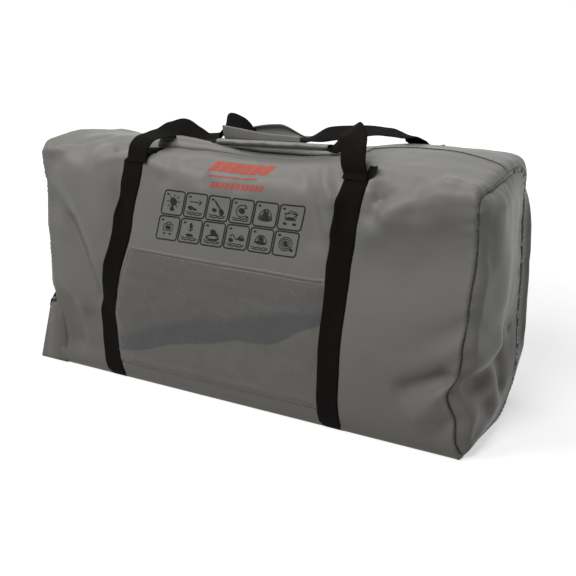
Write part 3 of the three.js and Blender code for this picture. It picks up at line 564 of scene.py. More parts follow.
def wovenWebbing():
    # black polyester webbing: cords along its length, crossed by fine picks
    shade = newMaterial("black webbing")
    where = shade.place()
    crossed = shade.waves("X", polyester["cordPitch"]) * shade.waves("Y", polyester["pickPitch"])
    ribs = shade.waves("Y", polyester["ribPitch"])
    fuzz = shade.noise(where, polyester["fuzz"], 2.0, 0.6)
    wear = shade.noise(where, polyester["wear"], 4.0, 0.6)
    tone = shade.tint(wear, colour(polyester["tone"]), colour(polyester["wornTone"]))
    cords = shade.ramp(crossed, 0.1, 1.0) * polyester["cordShare"]
    height = crossed * 0.8 + ribs * 0.35 + fuzz * 0.5
    return shade.principled({
        "Base Color": shade.tint(cords, tone, colour(polyester["cordTone"])),
        "Roughness": polyester["roughness"] + wear * polyester["wearRoughness"],
        "Specular IOR Level": polyester["specular"],
        "Normal": shade.bump(height, polyester["weaveStrength"], polyester["weaveDepth"]),
    })


thread = {
    "dark": (0.022, 0.021, 0.020), "black": (0.035, 0.033, 0.033), "twist": 1400.0,
    "roughness": 0.55, "twistRoughness": 0.2, "strength": 0.5, "depth": 0.0002,
}


def sewingThread(name):
    shade = newMaterial(name + " thread")
    twist = shade.noise(shade.place(), thread["twist"], 2.0, 0.5)
    return shade.principled({
        "Base Color": shade.tint(twist, colour(thread[name], 0.7), colour(thread[name], 1.3)),
        "Roughness": thread["roughness"] + twist * thread["twistRoughness"],
        "Normal": shade.bump(twist, thread["strength"], thread["depth"]),
    })


film = {
    # a painted reflection: a dark band across the film, with a warmer painted reflection below it; its two
    # edges are given as (place along X, height)
    "bandLow": (
        (-242, 52), (-196, 62), (-143, 79), (-74, 95), (-2, 115),
        (31, 116), (78, 128), (118, 152), (150, 170),
    ),
    "bandHigh": (
        (-242, 76), (-191, 95), (-127, 117), (-68, 138),
        (-20, 143), (22, 160), (104, 180), (150, 187),
    ),
    "left": -242, "right": 150, "rampTop": 250, "wobble": 14.0, "wobbleSize": 0.012,
    # the band's tone and alpha and the warm tone below the band are painted reflection
    "tone": (0.192, 0.185, 0.175), "reflectedBandTone": (0.120, 0.120, 0.119), "reflectedLowTone": (0.228, 0.218, 0.198),
    "alpha": 0.7, "reflectedBandAlpha": 0.1, "crinkle": 28.0, "crinkleShare": 0.1,
    "roughness": 0.27, "specular": 0.35, "strength": 0.5, "depth": 0.004,
}


def bandEdge(shade, share, edge):
    # height of a band's edge in metres, from a ramp over the film's length
    left, right, top = film["left"], film["right"], film["rampTop"]
    stops = [((place - left) / (right - left), colour((1, 1, 1), height / top)) for place, height in edge]
    return shade.add("ShaderNodeValToRGB", {"stops": stops}, {0: share}) * (top * mm)


def clearFilm():
    # clear vinyl: gloss, faint crinkles, and painted reflection: a dark band across it and a warmer tone
    # below the band
    shade = newMaterial("clear film")
    where = shade.place()
    height = shade.axis(where, "Z")
    span = {"Value": shade.axis(where, "X"), "From Min": film["left"] * mm, "From Max": film["right"] * mm}
    share = shade.add("ShaderNodeMapRange", None, span)
    wobble = (shade.noise(where, film["wobble"], 3.0, 0.5) - 0.5) * film["wobbleSize"]
    above = shade.ramp(height - bandEdge(shade, share, film["bandLow"]) - wobble, -0.001, 0.0025)
    below = 1 - shade.ramp(height - bandEdge(shade, share, film["bandHigh"]) - wobble, -0.004, 0.012)
    # painted reflection: the film is darker and less clear in a band, and warmer below it
    reflectedBand = above * below
    crinkle = shade.noise(where, film["crinkle"], 2.0, 0.4)
    uneven = (crinkle - 0.5) * film["crinkleShare"]
    tone = shade.tint(above, colour(film["reflectedLowTone"]), colour(film["tone"]))
    return shade.principled({
        "Base Color": shade.tint(reflectedBand, tone, colour(film["reflectedBandTone"])),
        "Roughness": film["roughness"] + uneven, "Specular IOR Level": film["specular"],
        "Alpha": film["alpha"] + reflectedBand * film["reflectedBandAlpha"] + uneven,
        "Normal": shade.bump(crinkle, film["strength"], film["depth"]),
    })


ink = {
    "black": (0.028, 0.028, 0.028), "red": (0.50, 0.105, 0.078), "patch": 240.0,
    "roughness": 0.5, "patchRoughness": 0.12, "specular": 0.12, "strength": 0.2, "depth": 0.0002,
}


def printInk(name):
    shade = newMaterial(name + " print")
    patch = shade.noise(shade.place(), ink["patch"], 3.0, 0.6)
    return shade.principled({
        "Base Color": shade.tint(patch, colour(ink[name], 0.8), colour(ink[name], 1.15)),
        "Roughness": ink["roughness"] + patch * ink["patchRoughness"], "Specular IOR Level": ink["specular"],
        "Normal": shade.bump(patch, ink["strength"], ink["depth"]),
    })


bagCloth = satinFabric("bag cloth")
gripCloth = satinFabric("grip cloth", fabric["gripLightness"])
blackWebbing = wovenWebbing()
darkThread = sewingThread("dark")
blackThread = sewingThread("black")
pocketFilm = clearFilm()
blackInk = printInk("black")
redInk = printInk("red")
print("materials made")


def endGrid(sign, ring):
    # an end panel between the four sides of the shell's end ring, swollen and creased
    across, up = bag["acrossSteps"], bag["upSteps"]
    alongS, alongT = np.arange(across + 1), np.arange(up + 1)
    s, t = np.meshgrid(alongS / across, alongT / up)
    frontSide, backSide = ring[across + alongT], ring[(2 * across + 2 * up - alongT) % len(ring)]
    baseSide, topSide = ring[across - alongS], ring[across + up + alongS]
    s3, t3 = s[..., None], t[..., None]
    points = (1 - s3) * frontSide[:, None] + s3 * backSide[:, None]
    points = points + (1 - t3) * baseSide[None] + t3 * topSide[None]
    points = points - (1 - s3) * (1 - t3) * ring[across] - s3 * (1 - t3) * ring[0]
    points = points - (1 - s3) * t3 * ring[across + up] - s3 * t3 * ring[2 * across + up]
    spots = points[..., 1:].reshape(-1, 2)
    swell = bag["endBelly"] * (1 - (2 * s - 1) ** 4) * (1 - (2 * t - 1) ** 4)
    if sign > 0:
        swell *= 1 - bag["rearFlat"] * smooth((s - 0.5) / 0.4)  # the rear half is drawn flat behind its seam
    creased = foldRise(spots, endFolds).reshape(s.shape) * (1 - (2 * s - 1) ** 8) * (1 - (2 * t - 1) ** 8)
    toEdge = np.minimum(np.minimum(s, 1 - s) * bag["depth"], np.minimum(t, 1 - t) * bag["height"])
    uneven = ripples(spots, bag["endRipples"]).reshape(s.shape) * smooth(toEdge / 30)
    pucker = ripple(spots, bag["puckerLength"], 23).reshape(s.shape) * bag["pucker"]
    pucker *= hill(toEdge - 6, 9) * smooth(toEdge / 6)
    points[..., 0] += sign * (swell + creased + uneven - pucker)
    return points


def makeShell():
    across, up, columns = bag["acrossSteps"], bag["upSteps"], bag["columns"]
    sides = enumerate((across, up, across, up))
    share = np.concatenate([side + np.arange(steps) / steps for side, steps in sides])
    count = len(share)
    a = 2 * np.arange(columns + 1) / columns - 1
    x = np.sign(a) * halfLength * (1 - (1 - np.abs(a)) ** bag["crowding"])
    points = skin(x[:, None], share[None, :])
    faces = gridFaces(columns + 1, count, wrap=True)
    around = np.concatenate(([0], np.cumsum(np.linalg.norm(np.diff(points[:count], axis=0), axis=1))))
    uvs = np.stack(np.broadcast_arrays(x[:, None], around[None, :]), axis=2).reshape(-1, 2)
    rows = [points]
    total = len(points)
    for sign, first in ((-1, 0), (1, columns * count)):
        grid = endGrid(sign, points[first:first + count])
        index = np.zeros(grid.shape[:2], int)
        index[0] = first + (across - np.arange(across + 1)) % count
        index[-1] = first + across + up + np.arange(across + 1)
        index[:, 0] = first + across + np.arange(up + 1)
        index[:, -1] = first + (2 * across + 2 * up - np.arange(up + 1)) % count
        inside = grid[1:-1, 1:-1].reshape(-1, 3)
        index[1:-1, 1:-1] = total + np.arange(len(inside)).reshape(up - 1, across - 1)
        total += len(inside)
        rows.append(inside)
        uvs = np.concatenate((uvs, inside[:, 1:]))
        corners = np.stack((index[:-1, :-1], index[:-1, 1:], index[1:, 1:], index[1:, :-1]), axis=2)
        corners = corners.reshape(-1, 4)
        faces += (corners if sign > 0 else corners[:, ::-1]).tolist()
    piece = makeMesh("bag_shell", np.concatenate(rows), faces, bagCloth, uvs)
    placePiece(piece, "bag_fabric", "valise_body")


makeShell()
print("shell made")


def webbingMesh(name, stations):
    # stations: for every step along it, rows of points across, for the upper and the lower face
    upper, lower = stations
    steps, across, _ = upper.shape
    middle = (upper + lower) / 2
    w = np.linspace(-1, 1, across)
    rounding = (1 - np.abs(w) ** 8)[None, :, None]
    upper, lower = middle + (upper - middle) * rounding, middle + (lower - middle) * rounding
    loop = np.concatenate((upper, lower[:, -2:0:-1]), axis=1)
    count = loop.shape[1]
    faces = gridFaces(steps, count, wrap=True)
    for row, turn in ((0, True), (steps - 1, False)):
        first = row * count
        for j in range(across - 1):
            k = (count - j) % count
            face = (first + j, first + j + 1, first + (count - j - 1) % count, first + k)
            face = tuple(dict.fromkeys(face))
            faces.append(face[::-1] if turn else face)
    run = np.concatenate(([0], np.cumsum(np.linalg.norm(np.diff(middle[:, across // 2], axis=0), axis=1))))
    v = np.repeat(run, count)
    u = np.tile(np.concatenate((w, w[-2:0:-1])) * webbing["width"] / 2, steps)
    return makeMesh(name, loop.reshape(-1, 3), faces, blackWebbing, np.stack((u, v), axis=1))


def girthStations(side):
    route, rear, reach = (webbing[side + part] for part in ("Route", "Rear", "Reach"))
    u = np.linspace(2 + reach, -1 - webbing["rearReach"], 300)[:, None]
    w = np.linspace(-1, 1, webbing["across"] + 1)[None, :]
    _, level, _, _ = evenSection(np.zeros(len(u)), u[:, 0])
    place = routeAt(route, level)[:, None]
    place = np.where(u < 1, mix(rear, route[0][1], smooth(u)), place)
    under = smooth((u + 0.25) / 0.2) * smooth((1.25 - u) / 0.2)
    high = mix(webbing["proud"], webbing["underRise"], under) + 0 * w
    x = place + w * webbing["width"] / 2
    return [skin(x, u, high - drop).reshape(*x.shape, 3) for drop in (0, webbing["thickness"])]


def curveAt(points, shares):
    # the same centripetal curve through given points that the handles' solids follow
    points = np.asarray(points, float)
    last = len(points) - 1
    found = []
    for share in shares:
        k = min(int(share * last), last - 1)
        weight = share * last - k
        p1, p2 = points[k], points[k + 1]
        p0 = points[k - 1] if k > 0 else 2 * points[0] - points[1]
        p3 = points[k + 2] if k + 2 <= last else 2 * points[last] - points[last - 1]
        pairs = (p0, p1), (p1, p2), (p2, p3)
        gap0, gap1, gap2 = (max(1e-4, np.linalg.norm(b - a)) ** 0.5 for a, b in pairs)
        in1 = ((p1 - p0) / gap0 - (p2 - p0) / (gap0 + gap1) + (p2 - p1) / gap1) * gap1
        in2 = ((p2 - p1) / gap1 - (p3 - p1) / (gap1 + gap2) + (p3 - p2) / gap2) * gap1
        c2 = -3 * p1 + 3 * p2 - 2 * in1 - in2
        c3 = 2 * p1 - 2 * p2 + in1 + in2
        found.append(p1 + in1 * weight + c2 * weight ** 2 + c3 * weight ** 3)
    return np.array(found)


class Strip:
    # a free webbing: a centre line with a direction across its width at every share of it
    def __init__(self, stations):
        self.shares = np.linspace(0, 1, 260)
        centres = [station[0] for station in stations]
        across = np.array([station[1] for station in stations], float)
        self.centre = curveAt(centres, self.shares)
        ahead = curveAt(centres, np.minimum(1, self.shares + 1e-3))
        behind = curveAt(centres, np.maximum(0, self.shares - 1e-3))
        tangent = ahead - behind
        tangent /= np.linalg.norm(tangent, axis=1)[:, None]
        k = np.minimum((self.shares * (len(stations) - 1)).astype(int), len(stations) - 2)
        t = smooth(self.shares * (len(stations) - 1) - k)[:, None]
        side = mix(across[k], across[k + 1], t)
        side -= (side * tangent).sum(axis=1)[:, None] * tangent
        self.side = side / np.linalg.norm(side, axis=1)[:, None]
        self.normal = np.cross(tangent, self.side)

    def faces(self):
        w = np.linspace(-1, 1, webbing["across"] + 1)[None, :, None] * webbing["width"] / 2
        half = webbing["thickness"] / 2
        middle = self.centre[:, None] + self.side[:, None] * w
        return middle + self.normal[:, None] * half, middle - self.normal[:, None] * half

    def at(self, share, w, lift):
        # a point above the strip's upper face and its normal: share of its length, -1 to 1 across
        i = np.interp(share, self.shares, np.arange(len(self.shares)))
        k = int(i)
        parts = []
        for line in (self.centre, self.side, self.normal):
            parts.append(mix(line[k], line[min(k + 1, len(line) - 1)], i - k))
        centre, side, normal = parts
        out = webbing["thickness"] / 2 + lift
        return centre + side * w * webbing["width"] / 2 + normal * out, normal


def lapStations(place, fromShare, toShare, count, direction):
    lift = webbing["girthRise"] + webbing["clearance"] + webbing["thickness"] / 2 + webbing["lapRoom"]
    shares = np.linspace(fromShare, toShare, count)
    return [(point, (direction, 0, 0)) for point in skin(place, shares, lift)]


handle = {
    "frontHeight": 12.5, "frontDistance": 85, "hump": 31, "fold": 54,
    "gripLength": 197, "gripPlace": 29, "gripWidth": 42, "gripThickness": 9.5, "gripWall": 1.44,
    "gripSlope": 8.5, "gripTilt": 0.26, "gripWaves": ((0.5, 19, 0), (0.4, 43, 1)),  # size, turns, start
    "rearDistance": 139, "rearHeight": 12, "rearArc": 34, "knot": 33,
    "rearGripLength": 140, "rearGripPlace": -18, "rearGripDrop": 4.2, "rearGripRise": 5, "rearGripRoom": 4,
    "sheet": 1.3, "frontFlap": 26, "frontFlapFall": 14,
    "rearFlap": 27, "rearFlapRun": (0.08, 0.66), "slantFrom": 0.56, "slantCut": 0.8,
}


def frontHandleStations():
    top = bag["height"]
    leftX = float(routeAt(webbing["leftRoute"], top))
    rightX = float(routeAt(webbing["rightRoute"], top))
    y = -halfDepth + handle["frontDistance"]
    left = handle["gripPlace"] - handle["gripLength"] / 2
    right = handle["gripPlace"] + handle["gripLength"] / 2

    def gripZ(x):
        share = min(1, max(0, (x - left) / handle["gripLength"]))
        return top + handle["frontHeight"] + handle["gripSlope"] * share

    hump, fold = top + handle["hump"], top + handle["fold"]
    flat = (0, -math.cos(handle["gripTilt"]), math.sin(handle["gripTilt"]))
    return [
        *lapStations(leftX - 2, 1.84, 1.93, 3, 1),
        ((leftX, y - 80, hump - 21), (1, 0, -0.06)),
        ((leftX + 2, y - 68, hump - 11), (1, -0.05, -0.1)),
        ((leftX + 5, y - 52, hump - 8), (0.97, -0.2, -0.12)),
        ((leftX + 10, y - 32, hump - 7), (0.85, -0.45, -0.25)),
        ((leftX + 19, y - 14, hump - 3), (0.4, -0.72, -0.55)),
        ((leftX + 31, y - 4, hump - 1), (0.1, -0.76, -0.62)),
        ((leftX + 49, y - 1, hump - 10), (0, -0.86, -0.5)),
        ((leftX + 71, y, hump - 17), (0, -0.95, -0.25)),
        ((left - 12, y, gripZ(left) + 1), (0, -1, 0.05)),
        ((left + 12, y, gripZ(left + 12)), flat),
        ((handle["gripPlace"], y, gripZ(handle["gripPlace"])), flat),
        ((right - 12, y, gripZ(right - 12)), flat),
        ((right + 14, y - 5, gripZ(right) + 11), (0.12, -0.66, -0.74)),
        ((right + 32, y - 12, fold - 12), (0.1, -0.68, -0.72)),
        ((rightX - 35, y - 26, fold + 1), (-0.35, -0.8, -0.45)),
        ((rightX - 21, y - 45, fold - 3), (-0.8, -0.55, -0.1)),
        ((rightX - 13, y - 62, fold - 18), (-1, -0.1, 0)),
        ((rightX - 8, y - 72, fold - 36), (-1, 0, 0)),
        *lapStations(rightX - 4, 2.045, 2.012, 3, -1),
    ]


def rearHandleStations():
    top = bag["height"]
    y = -halfDepth + handle["rearDistance"]
    lapShare = 3 - webbing["rearReach"]
    gripZ = top + handle["rearHeight"]
    left = handle["rearGripPlace"] - handle["rearGripLength"] / 2
    right = handle["rearGripPlace"] + handle["rearGripLength"] / 2
    arc = top + handle["rearArc"]
    leftX, rightX = webbing["leftRear"], webbing["rightRear"]
    return [
        *lapStations(leftX, lapShare + webbing["lapShares"], lapShare, 4, 1),
        ((leftX + 26, y + 18, top + 4), (0.7, 0.7, -0.1)),
        ((leftX + 62, y + 14, top + 5), (0.1, 0.98, 0)),
        ((left - 23, y + 7, top + handle["knot"] - 24), (0.1, 0.9, 0.4)),
        ((left - 11, y + 3, top + handle["knot"] - 3), (0.1, 0.5, 0.86)),
        ((left + 9, y + 1, top + handle["knot"] - 5), (0, 0.62, 0.78)),
        ((left + 44, y, gripZ), (0, 1, 0)),
        ((handle["rearGripPlace"], y, gripZ + 2), (0, 1, 0)),
        ((right - 8, y, gripZ + 5), (0, 1, 0)),
        ((right + 34, y + 5, arc - 6), (0, 0.87, 0.5)),
        ((right + 82, y + 10, arc + 1), (0, 0.92, 0.38)),
        ((right + 130, y + 10, arc + 5), (0, 0.98, 0.15)),
        ((rightX - 22, y + 14, arc + 2), (-0.35, 0.93, 0.1)),
        ((rightX - 8, y + 26, arc - 2), (-0.9, 0.4, 0)),
        *lapStations(rightX - 4, lapShare, lapShare + webbing["lapShares"] - 0.03, 4, -1),
    ]


tail = {
    # reach past the webbing's edge, spread in u, rise
    "rows": ((-8, 0.05, 0), (0, 0.045, 0), (4, 0.032, 4), (7, 0.02, 7.5), (9, 0.01, 10)),
    "thickness": 1.3, "frontShare": 2.08,
}


def makeGirth(side):
    girth = webbingMesh(side + "_girth", girthStations(side))
    placePiece(girth, "black_webbing", "girth_webbing_" + side)


def makeHandle(side, stations):
    strip = Strip(stations)
    placePiece(webbingMesh(side + "_handle", strip.faces()), "black_webbing", side + "_handle_webbing")
    return strip


def makeTail(name, place, share):
    # a cut webbing end turned out sideways from under the lap
    edge = place + webbing["width"] / 2
    stations = []
    for drop in (0, tail["thickness"]):
        rows = []
        for reach, spread, rise in tail["rows"]:
            shares = np.linspace(share - spread, share + spread, webbing["across"] + 1)
            rows.append(skin(edge + reach, shares, webbing["girthRise"] + rise - drop))
        stations.append(np.array(rows))
    placePiece(webbingMesh(name, stations), "black_webbing", "girth_webbing_right")


makeGirth("left")
makeGirth("right")
frontStrip = makeHandle("front", frontHandleStations())
makeHandle("rear", rearHandleStations())
makeTail("front_tail", float(routeAt(webbing["rightRoute"], bag["height"])), tail["frontShare"])
makeTail("rear_tail", webbing["rightRear"], 3 - webbing["rearReach"] + 0.5 * webbing["lapShares"])
print("webbings made")


def laidSheet(name, xAt, shareAt, low, high, material, columns, rows):
    # a sheet on the shell between two offsets; xAt and shareAt take shares along and up
    s, t = np.meshgrid(np.linspace(0, 1, columns), np.linspace(0, 1, rows), indexing="ij")
    x = xAt(s, t)
    u = shareAt(x.ravel(), t.ravel())
    inner, outer = (
        skin(x.ravel(), u, np.ravel(offset(s, t)) if callable(offset) else offset).reshape(columns, rows, 3)
        for offset in (low, high)
    )
    across = np.concatenate(([0], np.cumsum(np.linalg.norm(np.diff(outer[0], axis=0), axis=1))))
    uvs = np.stack((x.ravel(), np.tile(across, columns)), axis=1)
    return sheetMesh(name, inner, outer, material, uvs)


pocket = {
    "bottom": 31, "top": 234, "edge": 0.8, "underWebbing": 4,
    "film": 0.5, "filmRise": 0.8, "filmLoose": 1.1, "filmRipples": ((0.35, 90, 31), (0.08, 34, 32)),
    "face": -126,  # place along Y at which the creases and ripples are laid out
    "hemHeight": 9, "hemThickness": 0.45, "hemSunk": 0.2, "filmUnderHem": 2,
    "filmFlat": (0.365, 0.205),  # metres
}


def betweenWebbings(height, s):
    half = webbing["width"] / 2 + webbing["clearance"] + pocket["edge"] - pocket["underWebbing"]
    return mix(routeAt(webbing["leftRoute"], height) + half, routeAt(webbing["rightRoute"], height) - half, s)


# Small creases that stand in the film: from, to, rise, widths, share left at the end
filmCreases = (
    ((-176, -126, 186), (-160, -126, 174), 1.1, 2.2, 3, 0.4),
    ((-160, -126, 166), (-150, -126, 168), 0.9, 2, 3, 0.4),
    ((-110, -126, 180), (-84, -126, 166), 1.0, 2.2, 4, 0.4),
    ((-36, -126, 158), (-18, -126, 152), 1.2, 2.2, 3, 0.5),
    ((-8, -126, 168), (2, -126, 158), 1.2, 2.2, 3, 0.5),
    ((20, -126, 186), (44, -126, 176), 1.0, 3, 5, 0.4),
    ((104, -126, 216), (114, -126, 206), 1.2, 2.2, 3, 0.5),
    ((114, -126, 202), (122, -126, 192), 1.2, 2.2, 3, 0.5),
    ((128, -126, 222), (134, -126, 200), 1.0, 2.2, 4, 0.4),
    ((-220, -126, 206), (-120, -126, 196), 0.8, 6, 10, 0.5),
    ((-60, -126, 210), (90, -126, 204), 0.8, 7, 12, 0.5),
    ((-200, -126, 130), (-60, -126, 168), 0.9, 8, 14, 0.4),
    ((-212, -126, 42), (130, -126, 42), 1.0, 5, 5, 1.0),
)


def makePocketFilm():
    bottom, top = pocket["bottom"], pocket["top"] + pocket["filmUnderHem"]

    def filmX(s, t):
        return betweenWebbings(mix(bottom, top, t), s)

    def filmHigh(s, t):
        x, z = filmX(s, t).ravel(), mix(bottom, top, t).ravel()
        spots = np.stack((x, np.full_like(x, pocket["face"]), z), axis=1)
        rim = smooth(np.minimum(s, 1 - s) / 0.03) * smooth(np.minimum(t, 1 - t) / 0.05)
        loose = pocket["filmLoose"] + foldRise(spots, filmCreases) + ripples(spots, pocket["filmRipples"])
        return pocket["filmRise"] + loose.reshape(s.shape) * rim

    sheet = laidSheet(
        "pocket_film", filmX, lambda x, t: frontShare(x, mix(bottom, top, t)),
        lambda s, t: filmHigh(s, t) - pocket["film"], filmHigh, pocketFilm, 150, 84,
    )
    placePiece(sheet, "clear_film", "window_pocket_film")


def makePocketHem():
    low, high = pocket["top"], pocket["top"] + pocket["hemHeight"]
    hem = laidSheet(
        "pocket_hem", lambda s, t: betweenWebbings(mix(low, high, t), s),
        lambda x, t: frontShare(x, mix(low, high, t)),
        -pocket["hemSunk"], lambda s, t: pocket["hemThickness"] * (1 - (2 * t - 1) ** 4), bagCloth, 140, 9,
    )
    placePiece(hem, "bag_fabric", "window_pocket_hem")


makePocketFilm()
makePocketHem()

closure = {
    "distance": 66, "lipWidth": 24, "flapWidth": 34, "flapRise": 1.5, "leftRoom": 4, "rightRoom": 6,
    "mouthGap": 2, "mouthOpening": 1.8, "mouthPlace": 82, "mouthSpan": 36,
    "lipEnd": 26, "lipStand": 17, "lipForward": 9, "lipRise": 1.2, "sunk": 1.0,
    "overlapStart": 150, "overlapLine": (-9, -12, -8, -4, -6), "overlapWidth": 26,
    "overlapLow": (0.1, -1.6), "overlapHigh": (1.1, -0.6),  # offsets at its front and rear edge
    "overlapFlat": (0.236, 0.028),  # metres
}
closureY = -halfDepth + closure["distance"]


def closureEnds(s, t):
    left = webbing["leftRoute"][-1][1] + webbing["width"] / 2 + closure["leftRoom"]
    right = webbing["rightRoute"][-1][1] - webbing["width"] / 2 - closure["rightRoom"]
    return mix(left, right, s) + 0 * t


def mouthFront(x):
    opening = closure["mouthOpening"] * hill(x - closure["mouthPlace"], closure["mouthSpan"])
    return closureY + closure["lipWidth"] + closure["mouthGap"] + opening


def makeClosureLip():
    def lipX(s, t):
        return closureEnds(s, t) - closure["lipEnd"] * (1 - s) ** 3

    def lipShare(x, t):
        forward = closure["lipForward"] * smooth((40 - x) / 170)
        return topShare(x, mix(closureY - forward, closureY + closure["lipWidth"], t))

    def lipHigh(s, t):
        # folded hem: two layers stand up at its left end and sink into the cloth to the right
        standing = mix(closure["lipStand"], closure["lipRise"], smooth((s - 0.08) / 0.42))
        standing = standing * smooth((s + 0.012) / 0.02)
        layers = 0.48 * smooth((t + 0.02) / 0.05) + 0.52 * smooth((t - 0.1) / 0.05)
        rear = smooth((1.02 - t) / 0.3)
        behind = mix(smooth((0.5 - t) / 0.14), rear, smooth(s / 0.6))
        return standing * layers * behind + closure["lipRise"] * rear - 0.3

    lip = laidSheet("closure_lip_hem", lipX, lipShare, -closure["sunk"], lipHigh, gripCloth, 160, 33)
    placePiece(lip, "bag_fabric", "closure_lip")


def makeClosureFlap():
    rear = closureY + closure["lipWidth"] + closure["flapWidth"]
    flap = laidSheet(
        "closure_flap_sheet", closureEnds, lambda x, t: topShare(x, mix(mouthFront(x), rear, t)),
        -closure["sunk"], lambda s, t: closure["flapRise"] * (1 - (2 * t - 1) ** 8), bagCloth, 120, 15,
    )
    placePiece(flap, "bag_fabric", "closure_flap")


def overlapY(x):
    places = np.linspace(closure["overlapStart"], halfLength, len(closure["overlapLine"]))
    return np.interp(x, places, closure["overlapLine"])


def makeOverlap():
    # the closure goes on to the right end as one layer lapped over the other, with a free front edge
    start = closure["overlapStart"]
    sheet = laidSheet(
        "closure_overlap", lambda s, t: mix(start, halfLength - 1.5, s) + 0 * t,
        lambda x, t: topShare(x, mix(overlapY(x), overlapY(x) + closure["overlapWidth"], t)),
        lambda s, t: mix(*closure["overlapLow"], smooth(t)),
        lambda s, t: mix(*closure["overlapHigh"], smooth(t)), bagCloth, 110, 12,
    )
    placePiece(sheet, "bag_fabric")


makeClosureLip()
makeClosureFlap()
makeOverlap()
print("pocket and closure made")


def makeFrontGrip():
    # a flat closed wrap round the webbing, with soft edges and open ends
    y = -halfDepth + handle["frontDistance"]
    tilt = handle["gripTilt"]
    steps, around = 60, 36
    s = np.linspace(0, 1, steps)
    angle = 2 * math.pi * np.arange(around) / around - math.pi / 2
    flattened = np.sign(np.cos(angle)) * np.abs(np.cos(angle)) ** 0.6
    x = handle["gripPlace"] + handle["gripLength"] * (s - 0.5)
    z = bag["height"] + handle["frontHeight"] + handle["gripSlope"] * s
    uneven = sum(size * np.sin(s * turns + start) for size, turns, start in handle["gripWaves"])
    walls = []
    for wall, loose in ((0, uneven), (handle["gripWall"], 0 * uneven)):
        across = (handle["gripWidth"] / 2 - wall) * flattened[None, :] + 0 * x[:, None]
        up = (handle["gripThickness"] / 2 - wall) * np.sin(angle) + loose[:, None] * np.cos(angle) ** 2
        gridY = y + across * math.cos(tilt) + up * math.sin(tilt)
        gridZ = z[:, None] - across * math.sin(tilt) + up * math.cos(tilt)
        walls.append(np.stack((x[:, None] + 0 * across, gridY, gridZ), axis=2).reshape(-1, 3))
    count = steps * around
    faces = gridFaces(steps, around, wrap=True, turn=True) + gridFaces(steps, around, count, wrap=True)
    for j in range(around):
        k = (j + 1) % around
        faces.append((j, k, count + k, count + j))
        last = count - around
        faces.append((last + k, last + j, count + last + j, count + last + k))
    run = np.tile(np.arange(around) * 100 / around, steps)
    uvs = np.stack((np.repeat(x, around), run), axis=1)
    piece = makeMesh("front_grip", np.concatenate(walls), faces, gripCloth, np.concatenate((uvs, uvs)))
    placePiece(piece, "grip_fabric", "front_grip_wrap")


def rearGripLine(s):
    # the section of the rear grip as (across, up) points: flat under the webbing, flaps up on both sides
    half = webbing["width"] / 2 + handle["rearGripRoom"]
    start, run = handle["rearFlapRun"]
    curl = handle["rearFlap"] * math.sin(math.pi * (start + run * s)) ** 0.8
    # its right end is cut on a slant
    curl *= 1 - handle["slantCut"] * float(smooth((s - handle["slantFrom"]) / (1 - handle["slantFrom"])))
    front = handle["frontFlap"] - handle["frontFlapFall"] * s
    corners = [
        (-half - 5 * (1 - s), front), (-half - 3 * (1 - s), front * 0.55), (-half, 5), (-half + 5, 0), (0, 0),
        (half - 5, 0), (half, 5), (half + 1, curl * 0.6), (half - 6, curl),
    ]
    return curveAt(corners, np.linspace(0, 1, 41))


def makeRearGrip():
    # one sheet under the webbing, bent up at the front and curled up at the rear
    y = -halfDepth + handle["rearDistance"]
    low = bag["height"] + handle["rearHeight"] - handle["rearGripDrop"]
    outer, inner, uvs = [], [], []
    for s in np.linspace(0, 1, 60):
        x = handle["rearGripPlace"] + handle["rearGripLength"] * (s - 0.5)
        z = low + handle["rearGripRise"] * float(smooth((s - 0.5) * 2))
        line = rearGripLine(s)
        direction = np.gradient(line, axis=0)
        direction /= np.linalg.norm(direction, axis=1)[:, None]
        normal = np.stack((-direction[:, 1], direction[:, 0]), axis=1)
        for store, lift in ((outer, 0.0), (inner, handle["sheet"])):
            spots = line + normal * lift
            store.append(np.stack((np.full(len(spots), x), y + spots[:, 0], z + spots[:, 1]), axis=1))
        run = np.concatenate(([0], np.cumsum(np.linalg.norm(np.diff(line, axis=0), axis=1))))
        uvs.append(np.stack((np.full(len(run), x), run), axis=1))
    piece = sheetMesh("rear_grip", np.array(inner), np.array(outer), gripCloth, np.concatenate(uvs))
    placePiece(piece, "grip_fabric", "rear_grip_wrap")


makeFrontGrip()
makeRearGrip()

endPocket = {
    "height": 112, "topReach": 14, "footReach": 48, "rearFoot": 0.75, "front": 121, "rear": 46, "lift": 1.5,
    "sag": 4, "corner": 3, "ripple": (1.2, 46, 41), "depth": 14,
    "webbingWidth": 30, "webbingRise": 15, "webbingDrop": 9,
}


def pocketMouthX(y):
    across = (y + halfDepth) / bag["depth"]
    t = endPocket["height"] / bag["height"]
    swell = bag["endBelly"] * (1 - (2 * across - 1) ** 4) * (1 - (2 * t - 1) ** 4)
    return -halfLength - endPocket["topReach"] - swell


def makeEndPocket():
    # a flared pocket low on the left end, one soft closed form
    s = np.linspace(0, 1, 44)[:, None]
    t = np.linspace(0, 1, 26)[None, :]
    y = mix(-endPocket["front"], endPocket["rear"], s) + 0 * t
    z = mix(endPocket["lift"], endPocket["height"], t) + 0 * s
    edge = smooth(np.minimum(s, 1 - s) / 0.12)
    topX = pocketMouthX(y) + endPocket["corner"] * (1 - edge)
    footReach = endPocket["footReach"] * mix(1, endPocket["rearFoot"], s)
    footX = -halfLength - footReach - endPocket["corner"] * edge
    sag = endPocket["sag"] * edge * np.sin(math.pi * t) ** 0.8
    spots = np.stack((y.ravel(), z.ravel()), axis=1)
    uneven = ripples(spots, [endPocket["ripple"]]).reshape(y.shape) * np.sin(math.pi * t) * edge
    outer = np.stack((mix(footX, topX, t) - sag + uneven, y, z), axis=2)
    inner = outer.copy()
    inner[..., 0] = -halfLength + endPocket["depth"]
    piece = sheetMesh("end_pocket_form", inner, outer, bagCloth, spots)
    placePiece(piece, "bag_fabric", "end_pocket")


